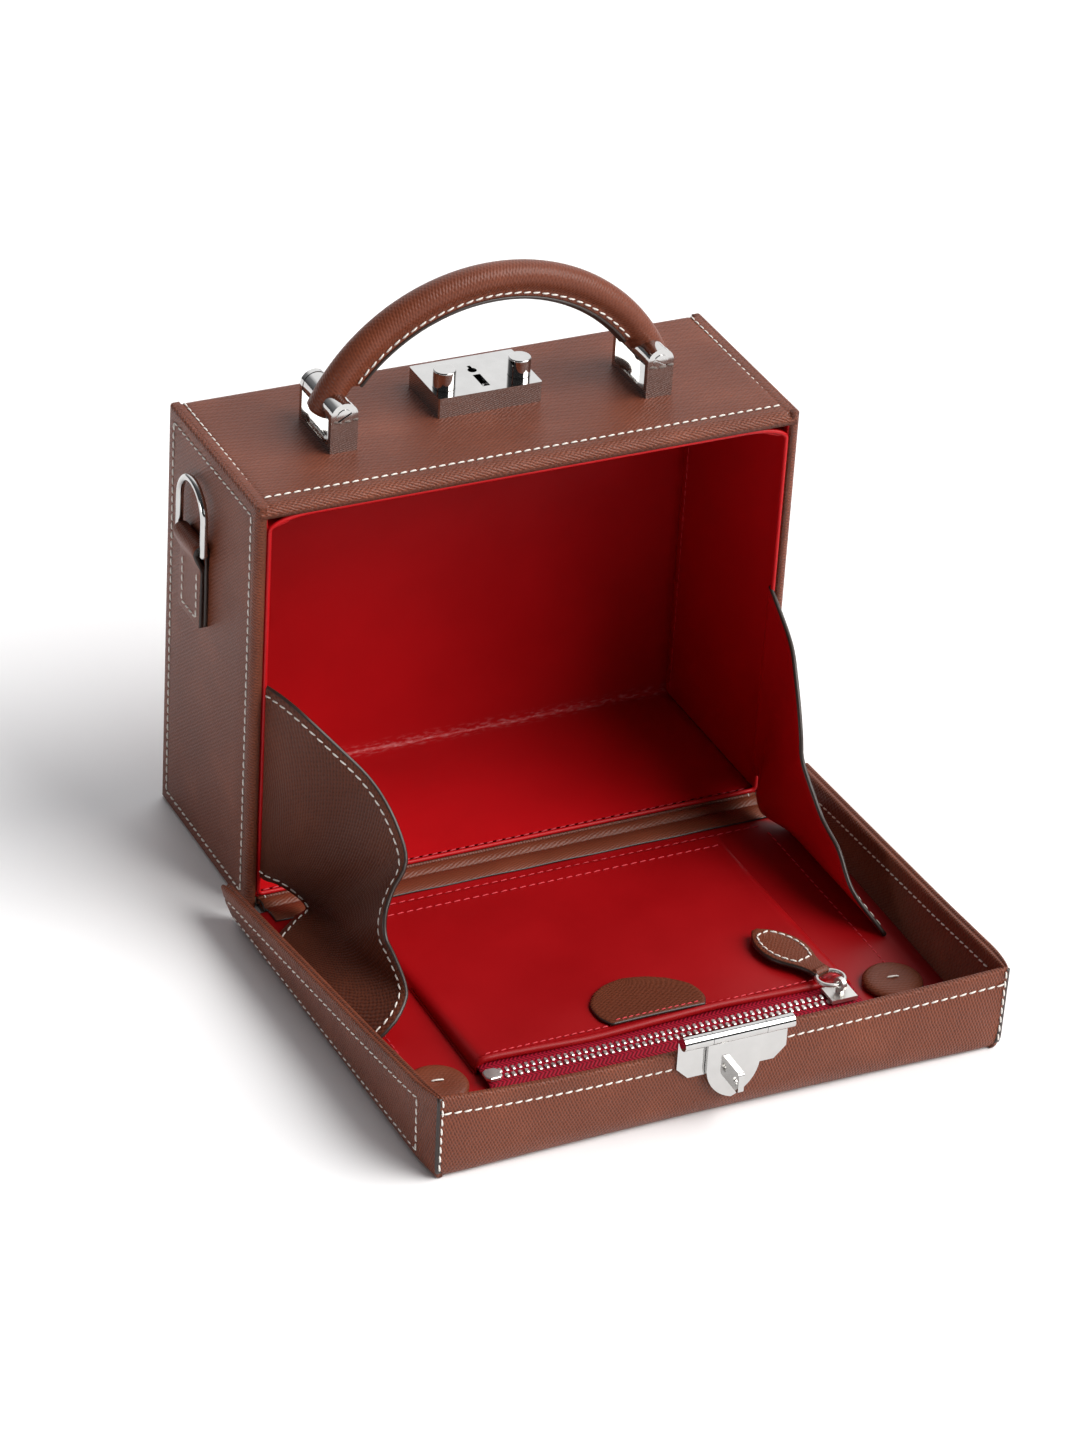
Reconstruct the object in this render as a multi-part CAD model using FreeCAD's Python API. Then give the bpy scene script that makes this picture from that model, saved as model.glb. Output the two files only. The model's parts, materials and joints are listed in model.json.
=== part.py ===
import FreeCAD, Part
import math
import os

# Leather jewellery case with a drop-front lid, modelled lid open.
# Millimetres. X runs to the right, Y to the back, Z up. The origin is the
# centre of the body's base, and the lid lies on the floor towards -Y.

# Body and wall layers
body_width = 212.0
body_depth = 82.0
body_height = 166.0
leather = 1.5
board = 2.4
lining = 0.8
binding = 1.4
floor_clearance = 0.3
soft_clearance = 0.3

# Lid tray
lid_board = 1.9
lid_top_clearance = 0.6
lid_side_clearance = 0.8
lid_front_height = 34.5
lid_hinge_end_height = 17.0
lid_base_flare = 2.6
lid_rim_lean_front = 0.5
lid_rim_lean_hinge = 5.0
lid_floor_setback = 3.0

# Leather hinge
hinge_distance = 6.0
hinge_height = 2.5
hinge_cover_width = 17.0
hinge_cover_margin = 6.0

# Side gussets, as a fan about the hinge corner: angle, radius and inward share
gusset_thickness = 1.8
gusset_inner_radius = 14.0
gusset_edge_inset = 1.5
gusset_bulge_left = 32.0
gusset_bulge_right = 16.0
gusset_fan = [
    (90.0, 88.0, 0.0),
    (76.0, 82.0, 0.56),
    (59.0, 76.0, 0.90),
    (42.0, 71.5, 1.0),
    (32.0, 67.0, 0.93),
    (12.0, 80.0, 0.76),
    (0.0, 98.0, 0.06),
]

# Strap tabs and D-rings on the sides
tab_width = 19.4
tab_leather = 1.8
tab_bottom = 96.0
tab_loop_height = 127.0
tab_centre_y = 9.5
ring_wire = 1.4
ring_straight = 13.0
ring_side_clearance = 0.3
running_clearance = 0.05

# Handle and its brackets
handle_span = 123.6
handle_rise = 36.7
handle_radius = 6.6
handle_core_radius = 4.2
handle_overrun = 6.0
handle_seam_width = 4.4
handle_seam_drop = 2.6
handle_seam_setback = 10.0
handle_core_setback = 9.0
pin_height = 14.0
bracket_depth = 28.0
bracket_width = 10.4
bracket_plate = 2.2
bracket_rim_clearance = 1.6
fitting_radius = 5.0
fitting_end_clearance = 0.1
screw_radius = 1.8
screw_head_radius = 2.9
screw_head_height = 1.0
screw_recess = 0.7
screw_slot_width = 0.7
screw_slot_depth = 0.5
screw_slot_turn = 30.0
rivet_radius = 1.5
rivet_washer_radius = 3.4
rivet_washer_height = 0.8
rivet_spacing = 14.0

# Hasp on the lid's front wall
hasp_width = 42.0
hasp_plate = 1.0
hasp_plate_drop = 14.0
hasp_plate_bottom_width = 33.0
hasp_knuckle_radius = 2.6
hasp_knuckle_gap = 0.15
hasp_pin_radius = 1.1
hasp_stud_radius = 1.2
hasp_stud_spread = 15.0
flap_width = 20.4
flap_length = 27.6
flap_shoulder = 13.0
flap_bend_width_share = 0.72
flap_bend_height_share = 0.36
flap_plate = 1.4
flap_offset = 1.1
flap_gap = 0.3
staple_drop = 18.0
staple_length = 8.0
staple_thickness = 2.2
staple_proud = 6.6
staple_hole_radius = 1.5
staple_hole_depth = 4.2

# Lock on the body's top
flap_over_lock = 1.7
lock_width = 40.6
lock_depth = 26.4
lock_wall = 1.2
lock_roof = 1.4
lock_base_thickness = 1.2
lock_slot_setback = 8.3
lock_slot_margin = 0.5
lock_slot_width = 2.9
lock_corner_round = 0.6
keyhole_distance = 8.0
keyhole_radius = 1.7
keyhole_tail_width = 1.3
keyhole_tail_length = 3.4
cam_radius = 3.2
cam_height = 3.0
cam_floor = 1.0
prong_radius = 1.2
prong_inset = 4.0
knob_distance = 14.75
knob_radius = 4.2
knob_height = 7.0
knob_lift = 0.15
knob_stem_radius = 1.6
latch_travel = 2.4
latch_length = 7.6
latch_depth = 6.0
latch_stem_inset = 1.8
latch_tip_radius = 0.9
latch_tip_gap = 0.3
latch_gap = 0.1
latch_lug_length = 2.0
latch_lug_depth = 3.4
spring_radius = 1.3

# Zip pocket on the lid's floor
pocket_side_margin = 33.8
pocket_skin = 1.2
pocket_back_height = 1.2
pocket_zip_height = 5.7
pocket_front_height = 4.8
pocket_front_inset = 28.0
pocket_zip_band = 16.0
zip_slot_width = 11.0
zip_slot_end_margin = 3.0
zip_tape = 0.7
zip_tape_gap = 1.2
zip_seat_gap = 0.15
zip_pitch = 2.5
zip_tooth_length = 1.4
zip_tooth_reach = 2.6
zip_spine = 1.0
zip_tooth_height = 1.6
slider_length = 10.0
slider_half_width = 4.3
slider_plate = 1.1
slider_channel_height = 2.2
slider_channel_half_width = 3.1
slider_slit = 1.3
slider_wedge_length = 3.0
slider_wedge_width = 1.0
bail_radius = 2.6
bail_hole = 1.3
bail_width = 1.6
bail_height = 3.4
pull_turn = 16.0
pull_ring_radius = 5.0
pull_ring_wire = 0.8
pull_length = 44.0
pull_neck = 3.6
pull_half_width = 7.8
pull_neck_length = 5.0
pull_leather = 2.4
pull_loop_radius = 1.7
patch_half_width = 21.0
patch_height = 19.5
patch_thickness = 0.9
patch_zip_gap = 3.5
patch_centre_x = -2.0
pad_radius = 11.0
pad_height = 3.4
pad_wall_gap = 7.0
pad_front_gap = 29.0

# Allowance when an edge is picked by its size
edge_match = 1e-6

# Places worked out from the sizes above
half_width = body_width / 2
front_y = -body_depth / 2
back_y = body_depth / 2
wall = leather + board + lining
panel_front_y = front_y + binding
hinge_y = front_y - hinge_distance

lid_wall = leather + lid_board + lining
lid_inner_front_y = hinge_y - (body_height + lid_top_clearance - hinge_height)
lid_front_y = lid_inner_front_y - lid_wall
lid_panel_front_y = lid_front_y + leather
lid_floor_end_y = hinge_y - lid_floor_setback
lid_half_width = half_width + lid_side_clearance + lid_wall
lid_lining_start_y = front_y - hinge_cover_width
lid_rim_closed_y = hinge_y + lid_front_height - hinge_height

handle_y = lid_rim_closed_y + bracket_rim_clearance + bracket_depth / 2
pin_x = handle_span / 2
pin_z = body_height + pin_height
arch_radius = (pin_x ** 2 + handle_rise ** 2) / (2 * handle_rise)
arch_centre_z = pin_z + handle_rise - arch_radius
arch_half_angle = math.asin(pin_x / arch_radius)

barrel_standoff = hasp_plate + flap_gap + flap_plate + flap_offset
barrel_y = lid_front_y - barrel_standoff
barrel_z = lid_front_height + hasp_knuckle_radius + 2 * hasp_knuckle_gap
flap_height_closed = lid_top_clearance + lid_wall + barrel_standoff + flap_offset
lock_height = flap_height_closed - flap_over_lock
lock_top_z = body_height + lock_height
lock_slot_y = hinge_y + barrel_z - hinge_height + staple_drop
lock_front_y = lock_slot_y - lock_slot_setback
lock_back_y = lock_front_y + lock_depth
lock_floor_z = body_height + lock_base_thickness
keyhole_y = lock_slot_y + keyhole_distance
latch_tip_z = body_height + flap_height_closed - staple_hole_depth

pocket_half_width = lid_half_width - lid_wall - pocket_side_margin
pocket_back_y = lid_lining_start_y - hinge_cover_margin
pocket_front_y = lid_inner_front_y + pocket_front_inset
pocket_zip_y = pocket_front_y + pocket_zip_band
pocket_slope = (pocket_zip_height - pocket_back_height) / (pocket_back_y - pocket_zip_y)
zip_y = pocket_front_y + pocket_zip_band / 2
zip_tape_reach = pocket_zip_band / 2 - pocket_skin - soft_clearance
zip_z = lid_wall + pocket_front_height - pocket_skin - zip_seat_gap - zip_tape / 2
slider_x = pocket_half_width - zip_slot_end_margin - slider_length / 2
slider_top_z = zip_z + slider_channel_height / 2 + slider_plate
pull_axis_z = slider_top_z + bail_height


def vec(x, y, z):
    return FreeCAD.Vector(x, y, z)


def block(x_range, y_range, z_range):
    """A box between the given limits, in any order."""
    lows = [min(pair) for pair in (x_range, y_range, z_range)]
    sizes = [abs(pair[1] - pair[0]) for pair in (x_range, y_range, z_range)]
    return Part.makeBox(sizes[0], sizes[1], sizes[2], vec(*lows))


def rod(radius, start, end):
    """A round bar between two points."""
    start = vec(*start)
    along = vec(*end).sub(start)
    return Part.makeCylinder(radius, along.Length, start, along)


def polygon(points):
    return Part.makePolygon([vec(*point) for point in points] + [vec(*points[0])])


def prism(points, along):
    """A flat outline of straight edges pushed along a vector."""
    return Part.Face(polygon(points)).extrude(vec(*along))


def loft(sections):
    """A solid through closed outlines with straight runs between them."""
    return Part.makeLoft([polygon(points) for points in sections], True, True)


def fused(shapes):
    return shapes[0].multiFuse(shapes[1:]).removeSplitter()


def save(node, shape):
    shape.exportStep("parts/" + node + ".step")
    print(node, len(shape.Solids), round(shape.Volume, 1), shape.isValid())


def side_name(side):
    return "left" if side < 0 else "right"


# Body shell

def rivet_points():
    """Where the bracket rivets pass through the top, as x and y."""
    offsets = (-rivet_spacing / 2, rivet_spacing / 2)
    return [(side * pin_x, handle_y + offset) for side in (-1, 1) for offset in offsets]


def prong_points():
    """Where the lock's prongs pass through the top, as x and y."""
    reach = lock_width / 2 - prong_inset
    rows = (lock_front_y + prong_inset, lock_back_y - prong_inset)
    return [(side * reach, y) for side in (-1, 1) for y in rows]


def top_holes(low_z, high_z):
    holes = [rod(rivet_radius, (x, y, low_z), (x, y, high_z)) for x, y in rivet_points()]
    holes += [rod(prong_radius, (x, y, low_z), (x, y, high_z)) for x, y in prong_points()]
    return holes


def build_case_leathers():
    inner_x = half_width - leather
    inside = (-inner_x, inner_x)
    depth = (panel_front_y, back_y)
    top = block(inside, depth, (body_height - leather, body_height))
    save("case_top_leather", top.cut(top_holes(body_height - leather, body_height)))
    save("case_bottom_leather", block(inside, depth, (0, leather)))
    save("case_back_leather", block(inside, (back_y - leather, back_y), (leather, body_height - leather)))
    for side in (-1, 1):
        panel = block((side * inner_x, side * half_width), depth, (0, body_height))
        save("case_" + side_name(side) + "_leather", panel)


def build_case_boards():
    outer_x = half_width - leather
    inner_x = outer_x - board
    low_z = leather
    high_z = body_height - leather
    depth = (panel_front_y, back_y - leather)
    top = block((-inner_x, inner_x), depth, (high_z - board, high_z))
    holes = top_holes(high_z - board, high_z)
    seat_z = high_z - board
    for x, y in rivet_points():
        holes.append(rod(rivet_washer_radius, (x, y, seat_z), (x, y, seat_z + rivet_washer_height)))
    save("case_top_board", top.cut(holes))
    save("case_bottom_board", block((-inner_x, inner_x), depth, (low_z, low_z + board)))
    back = (back_y - leather - board, back_y - leather)
    save("case_back_board", block((-inner_x, inner_x), back, (low_z + board, high_z - board)))
    for side in (-1, 1):
        panel = block((side * inner_x, side * outer_x), depth, (low_z, high_z))
        save("case_" + side_name(side) + "_board", panel)


def build_case_linings():
    outer_x = half_width - leather - board
    skin = leather + board
    outer = block((-outer_x, outer_x), (panel_front_y, back_y - skin), (skin, body_height - skin))
    inner = block((-outer_x, outer_x), (panel_front_y, back_y - wall), (wall, body_height - wall))
    save("lining_wrap", outer.cut(inner))
    depth = (panel_front_y, back_y - wall)
    height = (wall, body_height - wall)
    sides = [block((side * (half_width - wall), side * outer_x), depth, height) for side in (-1, 1)]
    save("lining_sides", Part.makeCompound(sides))


def build_opening_binding():
    depth = (front_y, panel_front_y)
    outer = block((-half_width, half_width), depth, (floor_clearance, body_height))
    inner_x = half_width - wall
    inner = block((-inner_x, inner_x), depth, (wall, body_height - wall))
    save("opening_binding", outer.cut(inner))


# Leather hinge and gussets

def build_hinge_leathers():
    reach = half_width - wall
    strip = block((-reach, reach), (front_y, lid_floor_end_y + soft_clearance),
                  (floor_clearance, floor_clearance + leather))
    save("hinge_strip", strip)
    cover_low = lid_wall - lining + soft_clearance
    cover = block((-reach, reach), (front_y, lid_lining_start_y + soft_clearance),
                  (cover_low, cover_low + lining))
    save("hinge_cover", cover)


def gusset_section(side, angle, radius, inward):
    """One radial slice of the fan, thin along X, in a plane through the hinge corner."""
    root_x = half_width - gusset_edge_inset
    root_z = lid_wall + soft_clearance
    points = []
    for reach, push in ((gusset_inner_radius, 0.0), (radius, inward)):
        y = front_y - reach * math.cos(math.radians(angle))
        z = root_z + reach * math.sin(math.radians(angle))
        points.append((side * (root_x - push), y, z))
    back = [(x - side * gusset_thickness, y, z) for x, y, z in reversed(points)]
    return points + back


def build_gussets():
    for side, bulge in ((-1, gusset_bulge_left), (1, gusset_bulge_right)):
        sections = []
        for angle, radius, share in gusset_fan:
            sections.append(gusset_section(side, angle, radius, share * bulge))
        save("gusset_" + side_name(side), loft(sections))


# Strap tabs and D-rings

def ring_axis_x():
    loop_radius = ring_wire + running_clearance + tab_leather
    return half_width + loop_radius


def build_tab(side):
    low_y = tab_centre_y - tab_width / 2
    axis_x = ring_axis_x()
    bore_radius = ring_wire + running_clearance
    loop_radius = bore_radius + tab_leather
    front_x = half_width + 2 * tab_leather
    outline = [
        (side * half_width, low_y, tab_bottom),
        (side * front_x, low_y, tab_bottom),
        (side * front_x, low_y, tab_loop_height - 2 * loop_radius),
        (side * (axis_x + loop_radius), low_y, tab_loop_height),
        (side * half_width, low_y, tab_loop_height),
    ]
    ends = ((side * axis_x, low_y, tab_loop_height), (side * axis_x, low_y + tab_width, tab_loop_height))
    strap = fused([prism(outline, (0, tab_width, 0)), rod(loop_radius, *ends)])
    save("tab_" + side_name(side), strap.cut(rod(bore_radius, *ends)))


def build_d_ring(side):
    x = side * ring_axis_x()
    half = tab_width / 2 + ring_side_clearance + ring_wire
    corner_low = (x, tab_centre_y - half, tab_loop_height)
    corner_high = (x, tab_centre_y + half, tab_loop_height)
    shoulder_z = tab_loop_height + ring_straight
    pieces = [rod(ring_wire, corner_low, corner_high)]
    for y in (tab_centre_y - half, tab_centre_y + half):
        pieces.append(Part.makeSphere(ring_wire, vec(x, y, tab_loop_height)))
        pieces.append(rod(ring_wire, (x, y, tab_loop_height), (x, y, shoulder_z)))
    wire_end = Part.makeCircle(ring_wire, vec(x, tab_centre_y + half, shoulder_z), vec(0, 0, 1))
    wire_face = Part.Face(Part.Wire(wire_end))
    pieces.append(wire_face.revolve(vec(x, tab_centre_y, shoulder_z), vec(1, 0, 0), 180))
    save("d_ring_" + side_name(side), fused(pieces))


# Handle and brackets

def along_arch(face, setback):
    """Sweeps a face that stands at the arch's top, stopping short of each pin by setback."""
    half_angle = math.degrees(arch_half_angle - setback / arch_radius)
    centre = vec(0, handle_y, arch_centre_z)
    start = face.copy()
    start.rotate(centre, vec(0, 1, 0), -half_angle)
    return start.revolve(centre, vec(0, 1, 0), 2 * half_angle)


def build_handle():
    top = vec(0, handle_y, arch_centre_z + arch_radius)
    disc = Part.Face(Part.Wire(Part.makeCircle(handle_radius, top, vec(1, 0, 0))))
    core_disc = Part.Face(Part.Wire(Part.makeCircle(handle_core_radius, top, vec(1, 0, 0))))
    seam_low = top.z - handle_radius - handle_seam_drop
    seam_high = top.z - handle_core_radius
    low_y = handle_y - handle_seam_width / 2
    high_y = handle_y + handle_seam_width / 2
    seam_corners = ((low_y, seam_low), (high_y, seam_low), (high_y, seam_high), (low_y, seam_high))
    seam = Part.Face(polygon([(0, y, z) for y, z in seam_corners]))
    core = along_arch(core_disc, handle_core_setback)
    cover = fused([along_arch(disc, -handle_overrun), along_arch(seam, handle_seam_setback)])
    reach = bracket_depth / 2 - bracket_plate - fitting_end_clearance
    cuts = [core]
    for side in (-1, 1):
        ends = ((side * pin_x, handle_y - reach, pin_z), (side * pin_x, handle_y + reach, pin_z))
        cuts.append(rod(fitting_radius, *ends))
        bore = rod(screw_radius + running_clearance, *ends)
        save("handle_fitting_" + side_name(side), rod(fitting_radius, *ends).cut(bore))
    save("handle_core", core)
    save("handle_cover", cover.cut(cuts))


def bracket_ear(x, low_y):
    """An upright plate with a round head about the pin."""
    half = bracket_width / 2
    foot = block((x - half, x + half), (low_y, low_y + bracket_plate), (body_height, pin_z))
    head = rod(half, (x, low_y, pin_z), (x, low_y + bracket_plate, pin_z))
    return fused([foot, head])


def build_brackets():
    front = handle_y - bracket_depth / 2
    back = handle_y + bracket_depth / 2
    half = bracket_width / 2
    for side in (-1, 1):
        x = side * pin_x
        base = block((x - half, x + half), (front, back), (body_height, body_height + bracket_plate))
        bracket = fused([base, bracket_ear(x, front), bracket_ear(x, back - bracket_plate)])
        cuts = [
            rod(screw_radius, (x, front, pin_z), (x, back, pin_z)),
            rod(screw_head_radius, (x, front, pin_z), (x, front + screw_recess, pin_z)),
        ]
        for offset in (-rivet_spacing / 2, rivet_spacing / 2):
            y = handle_y + offset
            cuts.append(rod(rivet_radius, (x, y, body_height), (x, y, body_height + bracket_plate)))
        save("bracket_" + side_name(side), bracket.cut(cuts))


def build_handle_screws():
    screws = []
    seat_y = handle_y - bracket_depth / 2 + screw_recess
    head_y = seat_y - screw_head_height
    for side in (-1, 1):
        x = side * pin_x
        shank = rod(screw_radius, (x, seat_y, pin_z), (x, handle_y + bracket_depth / 2, pin_z))
        head = rod(screw_head_radius, (x, head_y, pin_z), (x, seat_y, pin_z))
        slot = block((x - screw_head_radius, x + screw_head_radius), (head_y, head_y + screw_slot_depth),
                     (pin_z - screw_slot_width / 2, pin_z + screw_slot_width / 2))
        slot.rotate(vec(x, head_y, pin_z), vec(0, 1, 0), side * screw_slot_turn)
        screws.append(fused([shank, head]).cut(slot))
    save("handle_screws", Part.makeCompound(screws))


def build_bracket_rivets():
    rivets = []
    low_z = body_height - leather - board
    for x, y in rivet_points():
        shank = rod(rivet_radius, (x, y, low_z), (x, y, body_height + bracket_plate))
        washer = rod(rivet_washer_radius, (x, y, low_z), (x, y, low_z + rivet_washer_height))
        rivets.append(fused([shank, washer]))
    save("bracket_rivets", Part.makeCompound(rivets))


# Lock

def keyhole(low_z, high_z):
    hole = rod(keyhole_radius, (0, keyhole_y, low_z), (0, keyhole_y, high_z))
    half = keyhole_tail_width / 2
    tail = block((-half, half), (keyhole_y, keyhole_y + keyhole_tail_length), (low_z, high_z))
    return fused([hole, tail])


def build_lock_housing():
    half = lock_width / 2
    outer = block((-half, half), (lock_front_y, lock_back_y), (body_height, lock_top_z))
    uprights = [edge for edge in outer.Edges if abs(edge.BoundBox.ZLength - lock_height) < edge_match]
    outer = outer.makeFillet(lock_corner_round, uprights)
    inner_depth = (lock_front_y + lock_wall, lock_back_y - lock_wall)
    inner = block((-half + lock_wall, half - lock_wall), inner_depth, (body_height, lock_top_z - lock_roof))
    roof = (lock_top_z - lock_roof, lock_top_z)
    slot_half = staple_length / 2 + lock_slot_margin
    cuts = [inner, keyhole(*roof)]
    slot_run = (lock_slot_y - slot_half, lock_slot_y + slot_half)
    cuts.append(block((-lock_slot_width / 2, lock_slot_width / 2), slot_run, roof))
    stem_half = knob_stem_radius + running_clearance
    for side in (-1, 1):
        run = (side * (knob_distance - stem_half), side * (knob_distance + latch_travel + stem_half))
        cuts.append(block(run, (lock_slot_y - stem_half, lock_slot_y + stem_half), roof))
    save("lock_housing", outer.cut(cuts))


def build_lock_base():
    half = lock_width / 2 - lock_wall
    depth = (lock_front_y + lock_wall, lock_back_y - lock_wall)
    plate = block((-half, half), depth, (body_height, lock_floor_z))
    foot_z = body_height - leather - board
    prongs = [rod(prong_radius, (x, y, foot_z), (x, y, lock_floor_z)) for x, y in prong_points()]
    save("lock_base", fused([plate] + prongs))


def latch_inner_x():
    return knob_distance + latch_stem_inset - latch_length


def build_latch(side):
    inner_x = latch_inner_x()
    low_z = lock_floor_z + latch_gap
    high_z = lock_top_z - lock_roof - latch_gap
    low_y = lock_slot_y - latch_depth / 2
    high_y = lock_slot_y + latch_depth / 2
    stem_x = side * knob_distance
    height = (low_z, high_z)
    slide = block((side * inner_x, side * (inner_x + latch_length)), (low_y, high_y), height)
    lug_run = (side * inner_x, side * (inner_x + latch_lug_length))
    lug = block(lug_run, (high_y, high_y + latch_lug_depth), height)
    tip_start = (side * latch_tip_gap, lock_slot_y, latch_tip_z)
    tip = rod(latch_tip_radius, tip_start, (side * inner_x, lock_slot_y, latch_tip_z))
    stem_hole = rod(knob_stem_radius, (stem_x, lock_slot_y, low_z), (stem_x, lock_slot_y, high_z))
    save("latch_" + side_name(side), fused([slide, lug, tip]).cut(stem_hole))


def build_knob(side):
    x = side * knob_distance
    low_z = lock_floor_z + latch_gap
    cap_z = lock_top_z + knob_lift
    stem = rod(knob_stem_radius, (x, lock_slot_y, low_z), (x, lock_slot_y, cap_z))
    cap = rod(knob_radius, (x, lock_slot_y, cap_z), (x, lock_slot_y, cap_z + knob_height))
    rim = [edge for edge in cap.Edges if abs(edge.BoundBox.ZMin - cap_z - knob_height) < edge_match]
    save("knob_" + side_name(side), fused([stem, cap.makeFillet(lock_corner_round, rim)]))


def build_latch_spring(side):
    start_x = latch_inner_x() + latch_lug_length + running_clearance
    end_x = lock_width / 2 - lock_wall - running_clearance
    y = lock_slot_y + latch_depth / 2 + latch_lug_depth / 2 + running_clearance
    z = lock_floor_z + latch_gap + spring_radius + running_clearance
    spring = rod(spring_radius, (side * start_x, y, z), (side * end_x, y, z))
    save("latch_spring_" + side_name(side), spring)


def build_key_cam():
    low_z = lock_floor_z + latch_gap
    disc = rod(cam_radius, (0, keyhole_y, low_z), (0, keyhole_y, low_z + cam_height))
    save("key_cam", disc.cut(keyhole(low_z + cam_floor, low_z + cam_height)))


# Lid tray

def lid_share(y):
    """Runs from 0 at the lid's front to 1 at its hinge end."""
    return (y - lid_panel_front_y) / (hinge_y - lid_panel_front_y)


def lid_base_x(y):
    return lid_half_width + lid_base_flare * lid_share(y)


def lid_rim_x(y):
    return lid_base_x(y) + lid_rim_lean_front + (lid_rim_lean_hinge - lid_rim_lean_front) * lid_share(y)


def lid_rim_z(y):
    return lid_front_height + (lid_hinge_end_height - lid_front_height) * lid_share(y)


def lid_wall_x(y, z):
    """The outer face of a side wall at a place along and up it."""
    return lid_base_x(y) + (lid_rim_x(y) - lid_base_x(y)) * z / lid_rim_z(y)


def lid_side_layer(side, outer_depth, inner_depth, low_z, front_limit_y):
    """One layer of a side wall, between two depths in from its outer face."""
    sections = []
    for y in (lid_panel_front_y, hinge_y):
        rim_z = lid_rim_z(y)
        corners = ((outer_depth, 0), (outer_depth, rim_z), (inner_depth, rim_z), (inner_depth, 0))
        sections.append([(side * (lid_wall_x(y, z) - depth), y, z) for depth, z in corners])
    reach = (0, side * 2 * lid_half_width)
    kept = block(reach, (front_limit_y, hinge_y), (low_z, 2 * lid_front_height))
    return loft(sections).common(kept)


def lid_floor_layer(depth, start_y, end_y, low_z, high_z):
    """A flat layer of the lid's floor, drawn in by depth from the side walls' outer faces."""
    outline = []
    for side, y in ((-1, start_y), (1, start_y), (1, end_y), (-1, end_y)):
        outline.append((side * (lid_base_x(y) - depth), y, low_z))
    return prism(outline, (0, 0, high_z - low_z))


def lid_front_layer(depth, outer_y, inner_y, low_z):
    """A layer of the front wall, drawn in by depth from the side walls' outer faces."""
    outline = []
    for side, z in ((-1, low_z), (1, low_z), (1, lid_front_height), (-1, lid_front_height)):
        outline.append((side * (lid_wall_x(lid_panel_front_y, z) - depth), outer_y, z))
    return prism(outline, (0, inner_y - outer_y, 0))


def hasp_studs(outer_y, inner_y):
    z = lid_front_height - hasp_plate_drop / 2
    places = (-hasp_stud_spread, hasp_stud_spread)
    return [rod(hasp_stud_radius, (x, outer_y, z), (x, inner_y, z)) for x in places]


def build_lid_leathers():
    save("lid_face_leather", lid_floor_layer(leather, lid_panel_front_y, lid_floor_end_y, 0, leather))
    front = lid_front_layer(0, lid_front_y, lid_panel_front_y, 0)
    save("lid_front_leather", front.cut(hasp_studs(lid_front_y, lid_panel_front_y)))
    for side in (-1, 1):
        save("lid_" + side_name(side) + "_leather", lid_side_layer(side, 0, leather, 0, lid_panel_front_y))


def build_lid_boards():
    depth = leather + lid_board
    board_back_y = lid_panel_front_y + lid_board
    save("lid_floor_board", lid_floor_layer(depth, board_back_y, lid_floor_end_y, leather, depth))
    front = lid_front_layer(depth, lid_panel_front_y, board_back_y, leather)
    save("lid_front_board", front.cut(hasp_studs(lid_panel_front_y, board_back_y)))
    for side in (-1, 1):
        wall_board = lid_side_layer(side, leather, depth, leather, lid_panel_front_y)
        save("lid_" + side_name(side) + "_board", wall_board)


def build_lid_linings():
    depth = leather + lid_board
    board_back_y = lid_panel_front_y + lid_board
    save("lid_lining", lid_floor_layer(depth, board_back_y, lid_lining_start_y, depth, lid_wall))
    facings = [lid_front_layer(lid_wall, board_back_y, lid_inner_front_y, lid_wall)]
    facings += [lid_side_layer(side, depth, lid_wall, lid_wall, board_back_y) for side in (-1, 1)]
    save("lid_facings", Part.makeCompound(facings))


def build_corner_pads():
    y = lid_inner_front_y + pad_front_gap + pad_radius
    x = lid_half_width - lid_wall - pad_wall_gap - pad_radius
    top_z = lid_wall + pad_height
    pads = [rod(pad_radius, (pad_x, y, lid_wall), (pad_x, y, top_z)) for pad_x in (-x, x)]
    save("corner_pads", Part.makeCompound(pads))


# Hasp

def build_hasp_plate():
    half = hasp_width / 2
    foot_half = hasp_plate_bottom_width / 2
    low_z = lid_front_height - hasp_plate_drop
    chamfer = half - foot_half
    outer_y = lid_front_y - hasp_plate
    outline = [
        (-half, lid_front_y, barrel_z),
        (half, lid_front_y, barrel_z),
        (half, lid_front_y, low_z + chamfer),
        (foot_half, lid_front_y, low_z),
        (-foot_half, lid_front_y, low_z),
        (-half, lid_front_y, low_z + chamfer),
    ]
    pieces = [prism(outline, (0, -hasp_plate, 0))]
    pieces += hasp_studs(lid_front_y, lid_front_y + leather + lid_board)
    inner = flap_width / 2 + hasp_knuckle_gap
    for side in (-1, 1):
        run = (side * inner, side * half)
        ends = [(x, barrel_y, barrel_z) for x in run]
        pieces.append(rod(hasp_knuckle_radius, *ends))
        pieces.append(block(run, (barrel_y, outer_y), (barrel_z - flap_plate, barrel_z)))
    notch = block((-inner, inner), (outer_y, lid_front_y), (lid_front_height, barrel_z))
    bore = rod(hasp_pin_radius, (-half, barrel_y, barrel_z), (half, barrel_y, barrel_z))
    save("hasp_plate", fused(pieces).cut([notch, bore]))


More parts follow.
